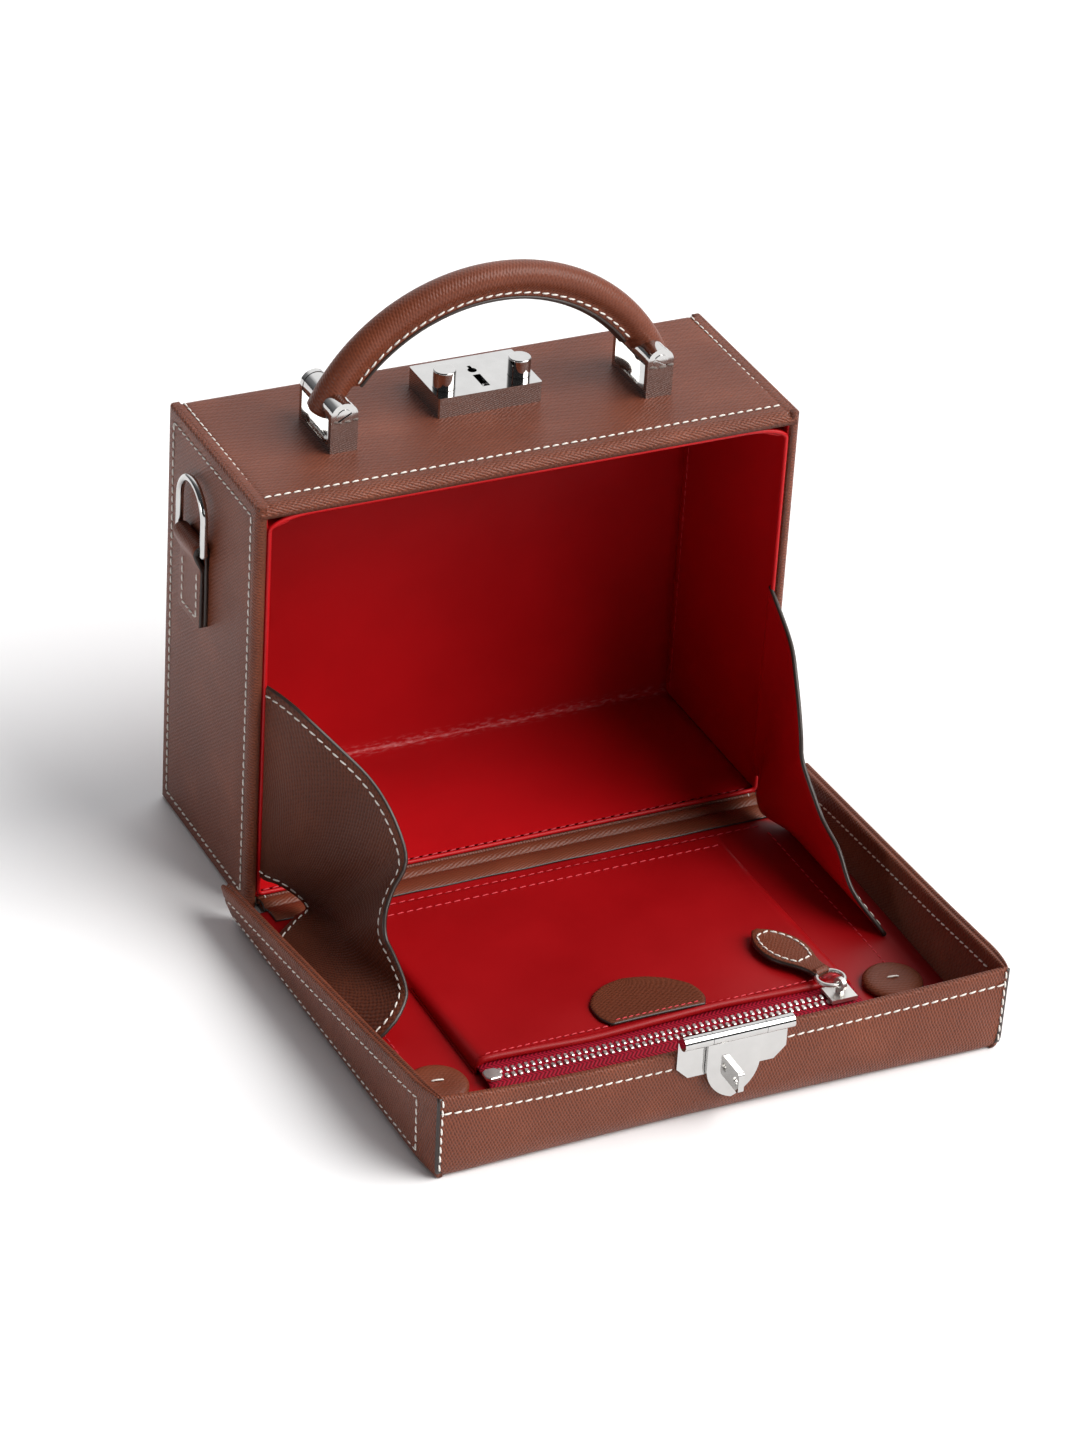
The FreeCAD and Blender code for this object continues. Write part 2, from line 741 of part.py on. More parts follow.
def build_hasp_flap():
    half = flap_width / 2
    near_y = barrel_y + flap_offset
    tip_z = barrel_z - flap_length
    shoulder_z = barrel_z - flap_shoulder
    bend_z = tip_z + (shoulder_z - tip_z) * flap_bend_height_share
    bend = vec(half * flap_bend_width_share, near_y, bend_z)
    left_shoulder = vec(-half, near_y, shoulder_z)
    left_top = vec(-half, near_y, barrel_z)
    right_top = vec(half, near_y, barrel_z)
    right_shoulder = vec(half, near_y, shoulder_z)
    tip = vec(0, near_y, tip_z)
    edges = [
        Part.LineSegment(left_shoulder, left_top).toShape(),
        Part.LineSegment(left_top, right_top).toShape(),
        Part.LineSegment(right_top, right_shoulder).toShape(),
        Part.Arc(right_shoulder, bend, tip).toShape(),
        Part.Arc(tip, vec(-bend.x, near_y, bend.z), left_shoulder).toShape(),
    ]
    plate = Part.Face(Part.Wire(edges)).extrude(vec(0, flap_plate, 0))
    ends = ((-half, barrel_y, barrel_z), (half, barrel_y, barrel_z))
    knuckle = rod(hasp_knuckle_radius, *ends)
    save("hasp_flap", fused([plate, knuckle]).cut(rod(hasp_pin_radius + running_clearance, *ends)))


def build_hasp_pin():
    half = hasp_width / 2
    save("hasp_pin", rod(hasp_pin_radius, (-half, barrel_y, barrel_z), (half, barrel_y, barrel_z)))


def build_hasp_staple():
    """The loop on the flap, with a hole across it for the latch tips."""
    root_y = barrel_y + flap_offset
    z = barrel_z - staple_drop
    half = staple_thickness / 2
    length = (z - staple_length / 2, z + staple_length / 2)
    loop = block((-half, half), (root_y - staple_proud, root_y), length)
    corners = [edge for edge in loop.Edges if abs(edge.BoundBox.XLength - staple_thickness) < edge_match
               and edge.BoundBox.YMax < root_y - edge_match]
    loop = loop.makeFillet(staple_thickness / 2, corners)
    hole_y = root_y - staple_hole_depth
    save("hasp_staple", loop.cut(rod(staple_hole_radius, (-half, hole_y, z), (half, hole_y, z))))


# Zip pocket

def pocket_top(y):
    """Height of the pocket panel's top face."""
    return lid_wall + pocket_back_height + pocket_slope * (pocket_back_y - y)


def pocket_block(inset):
    """The pocket's outline in Y and Z across its width, drawn in by inset on all sides but the floor."""
    half = pocket_half_width - inset
    back = pocket_back_y - inset
    front = pocket_front_y + inset
    outline = [
        (-half, back, lid_wall),
        (-half, back, pocket_top(back) - inset),
        (-half, pocket_zip_y, lid_wall + pocket_zip_height - inset),
        (-half, front, lid_wall + pocket_front_height - inset),
        (-half, front, lid_wall),
    ]
    return prism(outline, (2 * half, 0, 0))


def zip_half_length():
    return pocket_half_width - zip_slot_end_margin


def build_pocket_panel():
    half = zip_half_length()
    slot = block((-half, half), (zip_y - zip_slot_width / 2, zip_y + zip_slot_width / 2),
                 (lid_wall, lid_wall + 2 * pocket_zip_height))
    save("pocket_panel", pocket_block(0).cut([pocket_block(pocket_skin), slot]))


def build_pocket_patch():
    """A half-oval leather patch lying on the sloping panel, straight edge towards the zip."""
    edge_y = pocket_zip_y + patch_zip_gap
    ellipse = Part.Ellipse(vec(patch_centre_x, edge_y, 0), patch_half_width, patch_height)
    curve = ellipse.toShape(0, math.pi)
    ends = [vertex.Point for vertex in curve.Vertexes]
    outline = Part.Wire([curve, Part.LineSegment(ends[-1], ends[0]).toShape()])
    patch = Part.Face(outline).extrude(vec(0, 0, patch_thickness))
    patch.rotate(vec(0, edge_y, 0), vec(1, 0, 0), -math.degrees(math.atan(pocket_slope)))
    patch.translate(vec(0, 0, pocket_top(edge_y)))
    save("pocket_patch", patch)


def build_zip_tape():
    """Two bands under the slot's edges with the chain between them."""
    half = zip_half_length()
    bands = []
    for side in (-1, 1):
        run = (zip_y + side * zip_tape_gap / 2, zip_y + side * zip_tape_reach)
        bands.append(block((-half, half), run, (zip_z - zip_tape / 2, zip_z + zip_tape / 2)))
    save("zip_tape", Part.makeCompound(bands))


def build_zip_teeth():
    """The closed chain as one comb whose teeth alternate from side to side."""
    start = -zip_half_length() + zip_slot_end_margin
    end = slider_x + slider_length / 2 - slider_wedge_length - running_clearance
    count = int((end - start) / zip_pitch)
    back_edge = []
    front_edge = []
    for index in range(count):
        for edge, side, shift in ((back_edge, 1, 0), (front_edge, -1, zip_pitch / 2)):
            x = start + index * zip_pitch + shift
            near = zip_y + side * zip_spine
            far = zip_y + side * zip_tooth_reach
            edge += [(x, near), (x, far), (x + zip_tooth_length, far), (x + zip_tooth_length, near)]
    low_z = zip_z - zip_tooth_height / 2
    outline = [(x, y, low_z) for x, y in back_edge + front_edge[::-1]]
    tapes = [block((start, end), (zip_y + side * zip_tape_gap / 2, zip_y + side * zip_tape_reach),
                   (zip_z - zip_tape / 2, zip_z + zip_tape / 2)) for side in (-1, 1)]
    save("zip_teeth", prism(outline, (0, 0, zip_tooth_height)).cut(tapes))


def pull_frame(shape):
    """Turns a shape drawn along +Y from the pull's pivot to lie where the pull lies."""
    length = pull_length * math.cos(math.radians(pull_turn))
    tip_z = pocket_top(zip_y + length) + patch_thickness + soft_clearance + pull_leather / 2
    dip = math.degrees(math.asin((pull_axis_z - tip_z) / pull_length))
    shape.rotate(vec(0, 0, 0), vec(1, 0, 0), -dip)
    shape.rotate(vec(0, 0, 0), vec(0, 0, 1), pull_turn)
    shape.translate(vec(slider_x, zip_y, pull_axis_z))
    return shape


def build_zip_slider():
    half = slider_length / 2
    reach = slider_half_width
    tall = slider_channel_height / 2 + slider_plate
    run = (slider_x - half, slider_x + half)
    body = block(run, (zip_y - reach, zip_y + reach), (zip_z - tall, zip_z + tall))
    channel = block(run, (zip_y - slider_channel_half_width, zip_y + slider_channel_half_width),
                    (zip_z - slider_channel_height / 2, zip_z + slider_channel_height / 2))
    slit = block(run, (zip_y - reach, zip_y + reach), (zip_z - slider_slit / 2, zip_z + slider_slit / 2))
    wedge_half = slider_wedge_width / 2
    wedge = block((slider_x + half - slider_wedge_length, slider_x + half),
                  (zip_y - wedge_half, zip_y + wedge_half), (zip_z - tall, zip_z + tall))
    bail_half = bail_width / 2
    turn = math.radians(pull_turn)
    across_x = bail_half * math.cos(turn)
    across_y = bail_half * math.sin(turn)
    bail_start = (slider_x - across_x, zip_y - across_y, pull_axis_z)
    ends = (bail_start, (slider_x + across_x, zip_y + across_y, pull_axis_z))
    stalk = block((slider_x - bail_half, slider_x + bail_half), (zip_y - bail_hole, zip_y + bail_hole),
                  (slider_top_z - slider_plate, pull_axis_z))
    stalk.rotate(vec(slider_x, zip_y, 0), vec(0, 0, 1), pull_turn)
    shell = fused([body.cut([channel, slit]), wedge, stalk, rod(bail_radius, *ends)])
    save("zip_slider", shell.cut(rod(bail_hole, *ends)))


def pull_ring(wire):
    return Part.makeTorus(pull_ring_radius, wire, vec(0, pull_ring_radius, 0), vec(0, 0, 1))


def build_zip_pull():
    save("zip_pull_ring", pull_frame(pull_ring(pull_ring_wire)))
    loop_y = 2 * pull_ring_radius
    low_z = -pull_leather / 2
    neck_end = loop_y + pull_neck_length
    middle = (neck_end + pull_length) / 2
    left_root = vec(-pull_neck, neck_end, low_z)
    left_loop = vec(-pull_neck, loop_y, low_z)
    right_loop = vec(pull_neck, loop_y, low_z)
    right_root = vec(pull_neck, neck_end, low_z)
    tip = vec(0, pull_length, low_z)
    edges = [
        Part.LineSegment(left_root, left_loop).toShape(),
        Part.LineSegment(left_loop, right_loop).toShape(),
        Part.LineSegment(right_loop, right_root).toShape(),
        Part.Arc(right_root, vec(pull_half_width, middle, low_z), tip).toShape(),
        Part.Arc(tip, vec(-pull_half_width, middle, low_z), left_root).toShape(),
    ]
    leaf = Part.Face(Part.Wire(edges)).extrude(vec(0, 0, pull_leather))
    loop = rod(pull_loop_radius, (-pull_neck, loop_y, 0), (pull_neck, loop_y, 0))
    save("zip_pull", pull_frame(fused([leaf, loop]).cut(pull_ring(pull_ring_wire + running_clearance))))


os.makedirs("parts", exist_ok=True)
build_case_leathers()
build_case_boards()
build_case_linings()
build_opening_binding()
build_hinge_leathers()
build_gussets()
for ring_side in (-1, 1):
    build_tab(ring_side)
    build_d_ring(ring_side)
build_handle()
build_brackets()
build_handle_screws()
build_bracket_rivets()
build_lock_housing()
build_lock_base()
for latch_side in (-1, 1):
    build_latch(latch_side)
    build_knob(latch_side)
    build_latch_spring(latch_side)
build_key_cam()
build_lid_leathers()
build_lid_boards()
build_lid_linings()
build_corner_pads()
build_hasp_plate()
build_hasp_flap()
build_hasp_pin()
build_hasp_staple()
build_pocket_panel()
build_pocket_patch()
build_zip_tape()
build_zip_teeth()
build_zip_slider()
build_zip_pull()
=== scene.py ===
"""Looks of the leather jewellery case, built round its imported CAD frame."""

import bmesh
import bpy
import json
import math
from mathutils import Matrix, Vector, noise


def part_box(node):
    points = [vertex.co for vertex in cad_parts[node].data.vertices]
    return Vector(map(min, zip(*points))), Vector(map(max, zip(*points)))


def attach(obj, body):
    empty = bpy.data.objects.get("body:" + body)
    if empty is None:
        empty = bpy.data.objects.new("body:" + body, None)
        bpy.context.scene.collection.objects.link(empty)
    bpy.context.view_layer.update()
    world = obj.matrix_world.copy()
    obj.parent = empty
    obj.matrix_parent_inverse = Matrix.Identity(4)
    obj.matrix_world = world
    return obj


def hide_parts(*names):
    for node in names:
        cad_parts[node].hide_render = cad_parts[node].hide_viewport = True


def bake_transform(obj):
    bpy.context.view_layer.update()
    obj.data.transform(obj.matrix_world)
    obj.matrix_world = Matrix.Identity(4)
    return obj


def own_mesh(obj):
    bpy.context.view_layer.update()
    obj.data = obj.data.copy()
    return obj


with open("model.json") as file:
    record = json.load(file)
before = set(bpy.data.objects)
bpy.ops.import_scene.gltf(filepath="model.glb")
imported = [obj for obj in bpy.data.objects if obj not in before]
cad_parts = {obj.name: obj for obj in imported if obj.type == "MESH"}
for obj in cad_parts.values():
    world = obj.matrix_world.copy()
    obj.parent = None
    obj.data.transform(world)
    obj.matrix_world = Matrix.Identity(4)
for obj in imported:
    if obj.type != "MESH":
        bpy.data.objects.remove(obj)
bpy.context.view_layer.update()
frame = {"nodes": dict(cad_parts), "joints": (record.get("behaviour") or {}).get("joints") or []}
nodes = frame["nodes"]
joints = {joint["name"]: joint for joint in frame["joints"]}

MM = 0.001
both_sides = ((-1, "left"), (1, "right"))
rightward = Vector((1, 0, 0))
backward = Vector((0, 1, 0))
frontward = -backward
upward = Vector((0, 0, 1))


def span(node):
    """Lowest and highest corner of a CAD node, in millimetres."""
    low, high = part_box(node)
    return low / MM, high / MM


# Places of the CAD frame, in millimetres
half_width = span("case_right_leather")[1].x
front_y = span("opening_binding")[0].y
back_y = span("case_back_leather")[1].y
height = span("case_top_leather")[1].z
inner_x = span("hinge_strip")[1].x
wall = half_width - inner_x
hinge_y = joints["lid_hinge"]["pos_m"][1] / MM
lid_front_y = span("lid_front_leather")[0].y
lid_panel_y = span("lid_front_leather")[1].y
lid_floor_z = span("lid_lining")[1].z
lid_lining_y = span("lid_lining")[1].y
pocket_back_y = span("pocket_panel")[1].y
pocket_half = span("pocket_panel")[1].x
zip_line = joints["pull_swing"]["pos_m"]
zip_y = zip_line[1] / MM

# Stitching: along a stitch, its girth and lift as shares of the thread's radius
stitch_pitch = 3.7
stitch_length = 2.75
stitch_radius = 0.36
red_stitch_radius = 0.62 * stitch_radius
stitch_slant = 0.16
stitch_shape = ((0.0, 0.4, -0.28), (0.14, 0.85, 0.1), (0.5, 1.0, 0.22), (0.86, 0.85, 0.1), (1.0, 0.4, -0.28))
stitch_sides = 7
groove_depth = 0.32
groove_reach = 1.2
groove_shares = (-1.0, -0.45, 0.0, 0.45, 1.0)

# Panels of the body
panel_step = 7.0
edge_shares = (0.08, 0.3, 0.62, 1.0)
top_inset = 1.6
roll_radius = 3.2
back_roll_radius = 3.0
side_roll_radius = 2.5
side_edge_radius = 1.3
small_radius = 0.8
stitch_x = 101.0
front_stitch = 7.0
side_stitch = 5.0
side_setback = 0.35
side_front_gap = 0.15
side_crown = 0.25
opening_depth = 4.2
lining_setback = 1.2
lining_thickness = 0.8

# Hinge leathers: places from the body's front, the hinge line or the lid's lining, and their heights
cover_at_body = ((-0.2, 3.4), (-1.6, 4.3))
cover_at_hinge = ((1.8, 4.2), (0.7, 3.2), (0.0, 2.7), (-0.7, 3.2), (-1.8, 4.3), (-5.5, 4.7))
cover_at_lid = (0.4, 4.6)
strip_at_body = (-0.1, 1.05)
strip_at_hinge = ((2.0, 1.05), (0.0, 1.4), (-2.2, 1.05), (-2.9, 1.05))
cover_thickness = 0.8
cover_cut = 17.6
strip_thickness = 1.4
strip_cut = 10.0

# Gussets: along each edge from the body to the lid, the place, fan angle, reach and inward push
gusset_root = (103.0, -41.3, 5.2)
gusset_body_root = (100.5, -39.0)
gusset_root_share = 0.25
gusset_thickness = 1.7
gusset_free_edge = {
    -1: ((0.0, 90, 87.7, 0.0), (0.12, 79, 86.5, 8.0), (0.22, 70, 80.0, 19.0), (0.32, 60.5, 75.5, 27.5),
         (0.42, 48, 74.5, 31.5), (0.5, 37, 72.5, 32.5), (0.56, 30, 71.5, 26.0), (0.62, 24, 72.5, 21.5),
         (0.7, 18, 74.0, 20.0), (0.78, 14, 79.4, 20.4), (0.86, 9, 88.0, 20.5), (0.92, 6.5, 93.0, 18.5),
         (0.97, 3.5, 98.5, 11.5), (1.0, 0, 99.6, 3.0)),
    1: ((0.0, 90, 88.0, 0.0), (0.14, 80, 80.5, 2.4), (0.3, 65, 75.7, 8.0), (0.42, 50, 69.3, 11.2),
        (0.5, 41, 65.0, 11.5), (0.62, 25, 69.0, 10.3), (0.74, 17, 81.0, 10.5), (0.88, 8, 91.0, 10.0),
        (1.0, 0, 102.0, 2.3))}
gusset_notch_edge = ((0.0, 90, 8.4, 0.0), (0.2, 75, 8.4, 3.4), (0.35, 52, 10.0, 7.4), (0.48, 27, 11.5, 11.8),
                     (0.58, 9, 17.0, 13.7), (0.75, 5, 20.5, 7.4), (1.0, 0, 26.5, -1.6))
gusset_notch_push = {-1: 1.0, 1: 0.6}

# Strap tabs, as distance out from the case's side; the neck's heights are from the ring's pivot
tab_outer = 2.75
tab_inner = 0.9
tab_face = 3.65
tab_thickness = 1.75
tab_neck = ((3.1, -6.0), (4.6, -3.2))
tab_eye_out = 3.3
tab_eye_radius = 2.4
tab_stitch = 3.0
tab_stitch_top = 9.5

# Handle grip, the flange under it and the painted edge of that flange
grip_half_depth = 6.5
grip_half_height = 5.5
grip_turn = math.radians(26.0)
grip_overrun = 5.6
flange_half = 2.1
flange_drop = 2.7
flange_setback = 9.0
flange_thread = (0.35, -0.75)
flange_outward = (1.3, -1.2)
painted_edge = ((-1.75, 0.8), (1.75, 0.8), (1.75, -0.1), (1.2, -0.35), (-1.2, -0.35), (-1.75, -0.1))

# Lid tray; the front wall's dip is given for its left and right half
lid_half = 111.0
lid_floor_end_y = -50.3
lid_base_flare = 2.6
lid_lean_front = 0.5
lid_lean_hinge = 5.0
lid_hinge_end_z = 17.0
lid_wall = 4.2
lid_wall_inner = 4.35
lid_corner_z = 33.5
lid_corner_rise = 0.8
lid_rise_reach = 60.0
lid_front_dip = {-1: 3.8, 1: 1.0}
lid_front_tuck = 2.0
lid_front_inner_drop = 0.9
lid_face_setback = 4.6
lid_face_inset = 4.6
lid_corner_turn = 2.4
lid_front_turn = 0.9
lid_corner_length = 16.0
lid_corner_stitch = 11.0
hasp_backing_half = 15.0
hasp_backing_ease = 5.0

# Outline of a lid wall as depth in from its outer face and height. The foot has its share of the tuck;
# the outer rim and the inner rim have their heights from the rim.
wall_foot = ((4.2, 0.1, 1.0), (3.3, 0.25, 1.0), (2.2, 0.75, 1.0), (1.4, 1.5, 0.95), (0.8, 2.8, 0.75),
             (0.45, 5.2, 0.3))
wall_swell = (0.15, 8.5)
wall_middle = 0.55
wall_outer_rim = ((0.0, -5.9), (0.28, -5.1), (0.0, -4.3), (0.0, -0.6), (0.2, 0.3), (0.7, 0.95), (1.3, 0.95),
                  (1.8, 0.6))
wall_inner_rim = ((2.15, 0.12), (2.5, 0.5), (3.0, 0.8), (3.6, 0.7), (4.15, 0.1), (4.35, -0.8), (4.35, -4.3),
                  (4.1, -5.1), (4.35, -5.9))
wall_inner_foot = ((4.35, 4.0), (6.5, 3.3), (6.5, 0.1))
corner_edge = ((-1.6, -0.6), (0.12, -0.6), (0.25, -0.1), (0.12, 0.4), (-1.6, 0.4))
rim_thread = 5.0
foot_thread = 5.2

# Corner pads: from the foot to the dimple, the share of the radius and the height
pad_profile = ((0.9, 0.0), (1.0, 0.9), (1.0, 1.7), (0.95, 2.5), (0.82, 3.1), (0.55, 3.4), (0.25, 3.3),
               (0.06, 3.05))
pad_thread_z = 3.45

# Pocket: rows behind its back seam with their heights over the floor, and rows of its turned edge as
# places behind that edge and how far each lies below the panel's face
pocket_lift = 1.2
pocket_zip_y = zip_y + 8.0
pocket_edge_y = pocket_zip_y - 1.5
pocket_rise = 4.5 / (pocket_back_y - pocket_zip_y)
pocket_roll = 3.4
pocket_thickness = 0.9
pocket_seat = 0.35
pocket_back_rows = ((1.2, 0.35), (0.4, 0.7))
pocket_turned = ((2.2, 0.0), (1.6, 0.0), (1.1, 0.0), (0.7, 0.0), (0.3, 0.1), (0.05, 0.35), (0.0, 0.8),
                 (0.15, 1.5))

# Half-oval patch: up its height, the share of its half width
patch_outline = ((0.0, 0.86), (0.16, 0.95), (0.36, 0.965), (0.57, 0.9), (0.8, 0.67), (0.93, 0.42),
                 (0.985, 0.2), (1.0, 0.05))
patch_thickness = 1.1
patch_spread = 2.6
patch_lean = -2.4

# Zip: across the tape, the place from the zip's line and the height from the teeth's middle
tape_rows = ((7.4, 0.5), (4.5, 0.2), (2.0, 0.0), (0.0, -0.2), (-2.0, -0.2), (-4.5, -0.8), (-6.5, -1.7),
             (-7.6, -2.4))
tape_thickness = 0.7
tape_inset = 0.6
tooth_pitch = 2.5
tooth_margin = 0.7
tooth_off = 1.72
tooth_half = (0.7, 1.18, 0.74)
stop_half = (3.0, 3.0, 0.8)
stop_lift = 0.5
block_corner = 0.6
block_levels = (-1, -block_corner, block_corner, 1)
block_outline = ((1, -block_corner), (1, block_corner), (block_corner, 1), (-block_corner, 1),
                 (-1, block_corner), (-1, -block_corner), (-block_corner, -1), (block_corner, -1))

# Zip pull: along the leaf, its half width; lengths are from the swing's pivot
pull_widths = ((0.0, 3.3), (0.1, 3.3), (0.22, 4.4), (0.42, 7.2), (0.6, 7.9), (0.78, 6.6), (0.92, 3.9),
               (1.0, 1.0))
pull_thickness = 2.2
pull_start = 9.2
pull_length = 44.0
pull_loop_place = 10.2
pull_loop_radius = 1.75
pull_loop_half = 3.0

# Colours as linear light
brown = (0.142, 0.036, 0.0165)
brown_dark = (0.08, 0.019, 0.0095)
brown_light = (0.19, 0.051, 0.024)
red = (0.34, 0.0028, 0.005)
red_dark = (0.21, 0.0014, 0.0025)
crimson = (0.36, 0.006, 0.024)
crease_pink = (0.62, 0.19, 0.2)
thread_white = (0.9, 0.86, 0.8)
thread_pink = (0.72, 0.05, 0.07)
edge_brown = (0.03, 0.017, 0.013)
nickel = (0.57, 0.565, 0.555)
steel_grey = (0.5, 0.5, 0.5)
zip_nickel = (0.74, 0.73, 0.7)
board_grey = (0.24, 0.19, 0.14)
core_white = (0.6, 0.57, 0.5)
grain_dark = (0.42, 0.42, 0.42)
grain_clear = (1.0, 1.0, 1.0)
floor_white = (0.96, 0.96, 0.97)

# Rows of grain pressed into brown leather: turn, scale, waviness, scale of the waves and share
grain_rows = ((24.0, 0.3, 2.6, 1.4, 0.62), (-38.0, 0.24, 3.2, 1.8, 0.38))
fine_share = 0.5
grain_tone = 0.9
cloud_tone = 0.72
red_cloud_tone = 0.6
crease_reach = 4.2
fleck_stretch = (0.35, 1.0, 1.0)
weave_band = 1.9
weave_width = 0.8

# Studio light and camera
floor_reach = 6000.0
sky_brightest = (0.36, 0.72, 0.59)
sky_tones = ((0.3, (0.04, 0.04, 0.042)), (0.7, (0.09, 0.09, 0.095)), (0.86, (0.3, 0.3, 0.31)),
             (0.95, (1.28, 1.28, 1.29)))
sky_strength = 1.0
key_direction = (-0.6, 0.46, -0.66)
key_strength = 4.6
key_spread = 54.0
key_colour = (1.0, 0.985, 0.965)
fill_target = (0.0, -0.02, 0.08)
fills = (("front_fill", (0.1, -1.75, 0.65), (0.9, 0.5), 2.6),
         ("left_fill", (-1.9, -0.3, 0.3), (0.8, 0.4), 4.2))
camera_place = (-0.744, -1.513, 1.074)
camera_ahead = (0.3875, 0.7583, -0.5242)
camera_right = (0.9038, -0.4244, 0.0541)
camera_sensor = 36.0
camera_lens = 133.6


# Small helpers

def smooth(t):
    t = min(max(t, 0.0), 1.0)
    return t * t * (3 - 2 * t)


def mix(a, b, t):
    return a + (b - a) * t


def mix_tone(a, b, t):
    return tuple(mix(x, y, t) for x, y in zip(a, b))


def shaded(tone, share):
    return tuple(c * share for c in tone)


def bell(offset, width):
    """A soft hump that is 1 at no offset."""
    return math.exp(-((offset / width) ** 2))


def eased(most, distance, reach):
    """A curve that falls from its most to nothing over a reach."""
    return most * max(0.0, 1 - distance / reach) ** 2


def uneven(*place):
    """Smooth noise between about -1 and 1."""
    return noise.noise(Vector(place))


def steps(start, end, count):
    return [mix(start, end, i / count) for i in range(count + 1)]


def circle(centre, side, up, radius, count):
    """Even points round a circle that lies in two directions."""
    angles = [2 * math.pi * k / count for k in range(count)]
    return [centre + (side * math.cos(a) + up * math.sin(a)) * radius for a in angles]


def follow(table, t):
    """A smooth value from a short table of places and values."""
    last = len(table) - 1
    at = 0
    while at < last - 1 and t > table[at + 1][0]:
        at += 1
    rows = [table[min(max(at + k, 0), last)] for k in (-1, 0, 1, 2)]
    f = (t - rows[1][0]) / (rows[2][0] - rows[1][0])
    p0, p1, p2, p3 = [row[1] for row in rows]
    return 0.5 * (2 * p1 + (p2 - p0) * f + (2 * p0 - 5 * p1 + 4 * p2 - p3) * f * f
                  + (3 * p1 - p0 - 3 * p2 + p3) * f ** 3)


def arc(centre, radius, start, end, count):
    """Points of an arc as pairs, angles in degrees."""
    angles = [math.radians(a) for a in steps(start, end, count)]
    return [(centre[0] + radius * math.cos(a), centre[1] + radius * math.sin(a)) for a in angles]


def running(points):
    """Distance along a line of points, at each point."""
    total = [0.0]
    for a, b in zip(points, points[1:]):
        total.append(total[-1] + (Vector(b) - Vector(a)).length)
    return total


def middle(points):
    return sum((Vector(p) for p in points), Vector()) / len(points)


def piece(name, verts, faces, materials, slots=None, uvs=None, closed=True):
    """A mesh object from millimetre points; the uvs are in millimetres, one for each face corner."""
    mesh = bpy.data.meshes.new(name)
    mesh.from_pydata([Vector(v) * MM for v in verts], [], faces)
    for material in materials:
        mesh.materials.append(material)
    layer = mesh.uv_layers.new(name="UVMap")
    if uvs:
        layer.data.foreach_set("uv", [c for uv in uvs for c in uv])
    else:
        box_uv(mesh, layer)
    if slots:
        mesh.polygons.foreach_set("material_index", slots)
    mesh.polygons.foreach_set("use_smooth", [True] * len(mesh.polygons))
    if closed:
        shape = bmesh.new()
        shape.from_mesh(mesh)
        bmesh.ops.recalc_face_normals(shape, faces=shape.faces)
        shape.to_mesh(mesh)
        shape.free()
    made = bpy.data.objects.new(name, mesh)
    bpy.context.scene.collection.objects.link(made)
    return made


def box_uv(mesh, layer):
    """Flat projection along each face's main direction."""
    for face in mesh.polygons:
        axis = max(range(3), key=lambda k: abs(face.normal[k]))
        keep = [k for k in range(3) if k != axis]
        for loop in face.loop_indices:
            co = mesh.vertices[mesh.loops[loop].vertex_index].co
            layer.data[loop].uv = (co[keep[0]] / MM, co[keep[1]] / MM)


def tube_faces(first, rings, count, looped=False):
    """Faces of a skin through rings of points, with a face over each end unless it is looped."""
    faces = []
    for i in range(rings if looped else rings - 1):
        k = (i + 1) % rings
        for j in range(count):
            m = (j + 1) % count
            faces.append([first + a * count + b for a, b in ((i, j), (i, m), (k, m), (k, j))])
    if not looped:
        faces.append([first + j for j in range(count)][::-1])
        faces.append([first + (rings - 1) * count + j for j in range(count)])
    return faces


def ring_piece(name, rings, material, cap_material=None, looped=False, projected=False):
    """A closed skin through rings of points, with flat ends unless it is looped; its grain runs along
    the rings, or is projected straight on."""
    around = running(list(rings[0]) + [rings[0][0]])
    along = running([middle(ring) for ring in rings] + ([middle(rings[0])] if looped else []))
    faces = tube_faces(0, len(rings), len(rings[0]), looped)
    slots = [0] * len(faces)
    uvs = []
    for low, high in zip(along, along[1:]):
        for left, right in zip(around, around[1:]):
            uvs += [(left, low), (right, low), (right, high), (left, high)]
    if not looped:
        uvs += [(place, along[0]) for place in around[:-1]][::-1]
        uvs += [(place, along[-1]) for place in around[:-1]]
    materials = [material]
    if cap_material:
        materials.append(cap_material)
        slots[-2:] = [1, 1]
    verts = [p for ring in rings for p in ring]
    return piece(name, verts, faces, materials, slots, None if projected else uvs)


def pinched(rings, amount):
    """The same rings with their two ends drawn in a little, so that the ends are rounded."""
    out = list(rings)
    for end, inner in ((0, 1), (len(rings) - 1, len(rings) - 2)):
        centre = middle(rings[end])
        inward = (middle(rings[inner]) - centre).normalized()
        shoulder = [Vector(p) + inward * amount for p in rings[end]]
        drawn = []
        for p in rings[end]:
            reach = Vector(p) - centre
            drawn.append(centre + reach * max(0.0, 1 - amount / max(reach.length, amount)))
        pair = [drawn, shoulder]
        out = pair + out[1:] if end == 0 else out[:-1] + pair[::-1]
    return out


def swept(name, path, radius, material, looped=False, around=10):
    """A round tube along a line of points."""
    points = [Vector(p) for p in path]
    rings = []
    side = None
    for i, p in enumerate(points):
        before = points[i - 1] if i or looped else p
        after = points[(i + 1) % len(points)] if i < len(points) - 1 or looped else p
        ahead = (after - before).normalized()
        if side is None:
            side = ahead.orthogonal().normalized()
        side = (side - ahead * side.dot(ahead)).normalized()
        rings.append(circle(p, side, ahead.cross(side), radius, around))
    return ring_piece(name, rings, material, looped=looped)


def grid_corners(rows, cols):
    """Row and column of the corners of each face in a grid of points."""
    firsts = [(i, j) for i in range(rows - 1) for j in range(cols - 1)]
    return [[(i, j), (i + 1, j), (i + 1, j + 1), (i, j + 1)] for i, j in firsts]


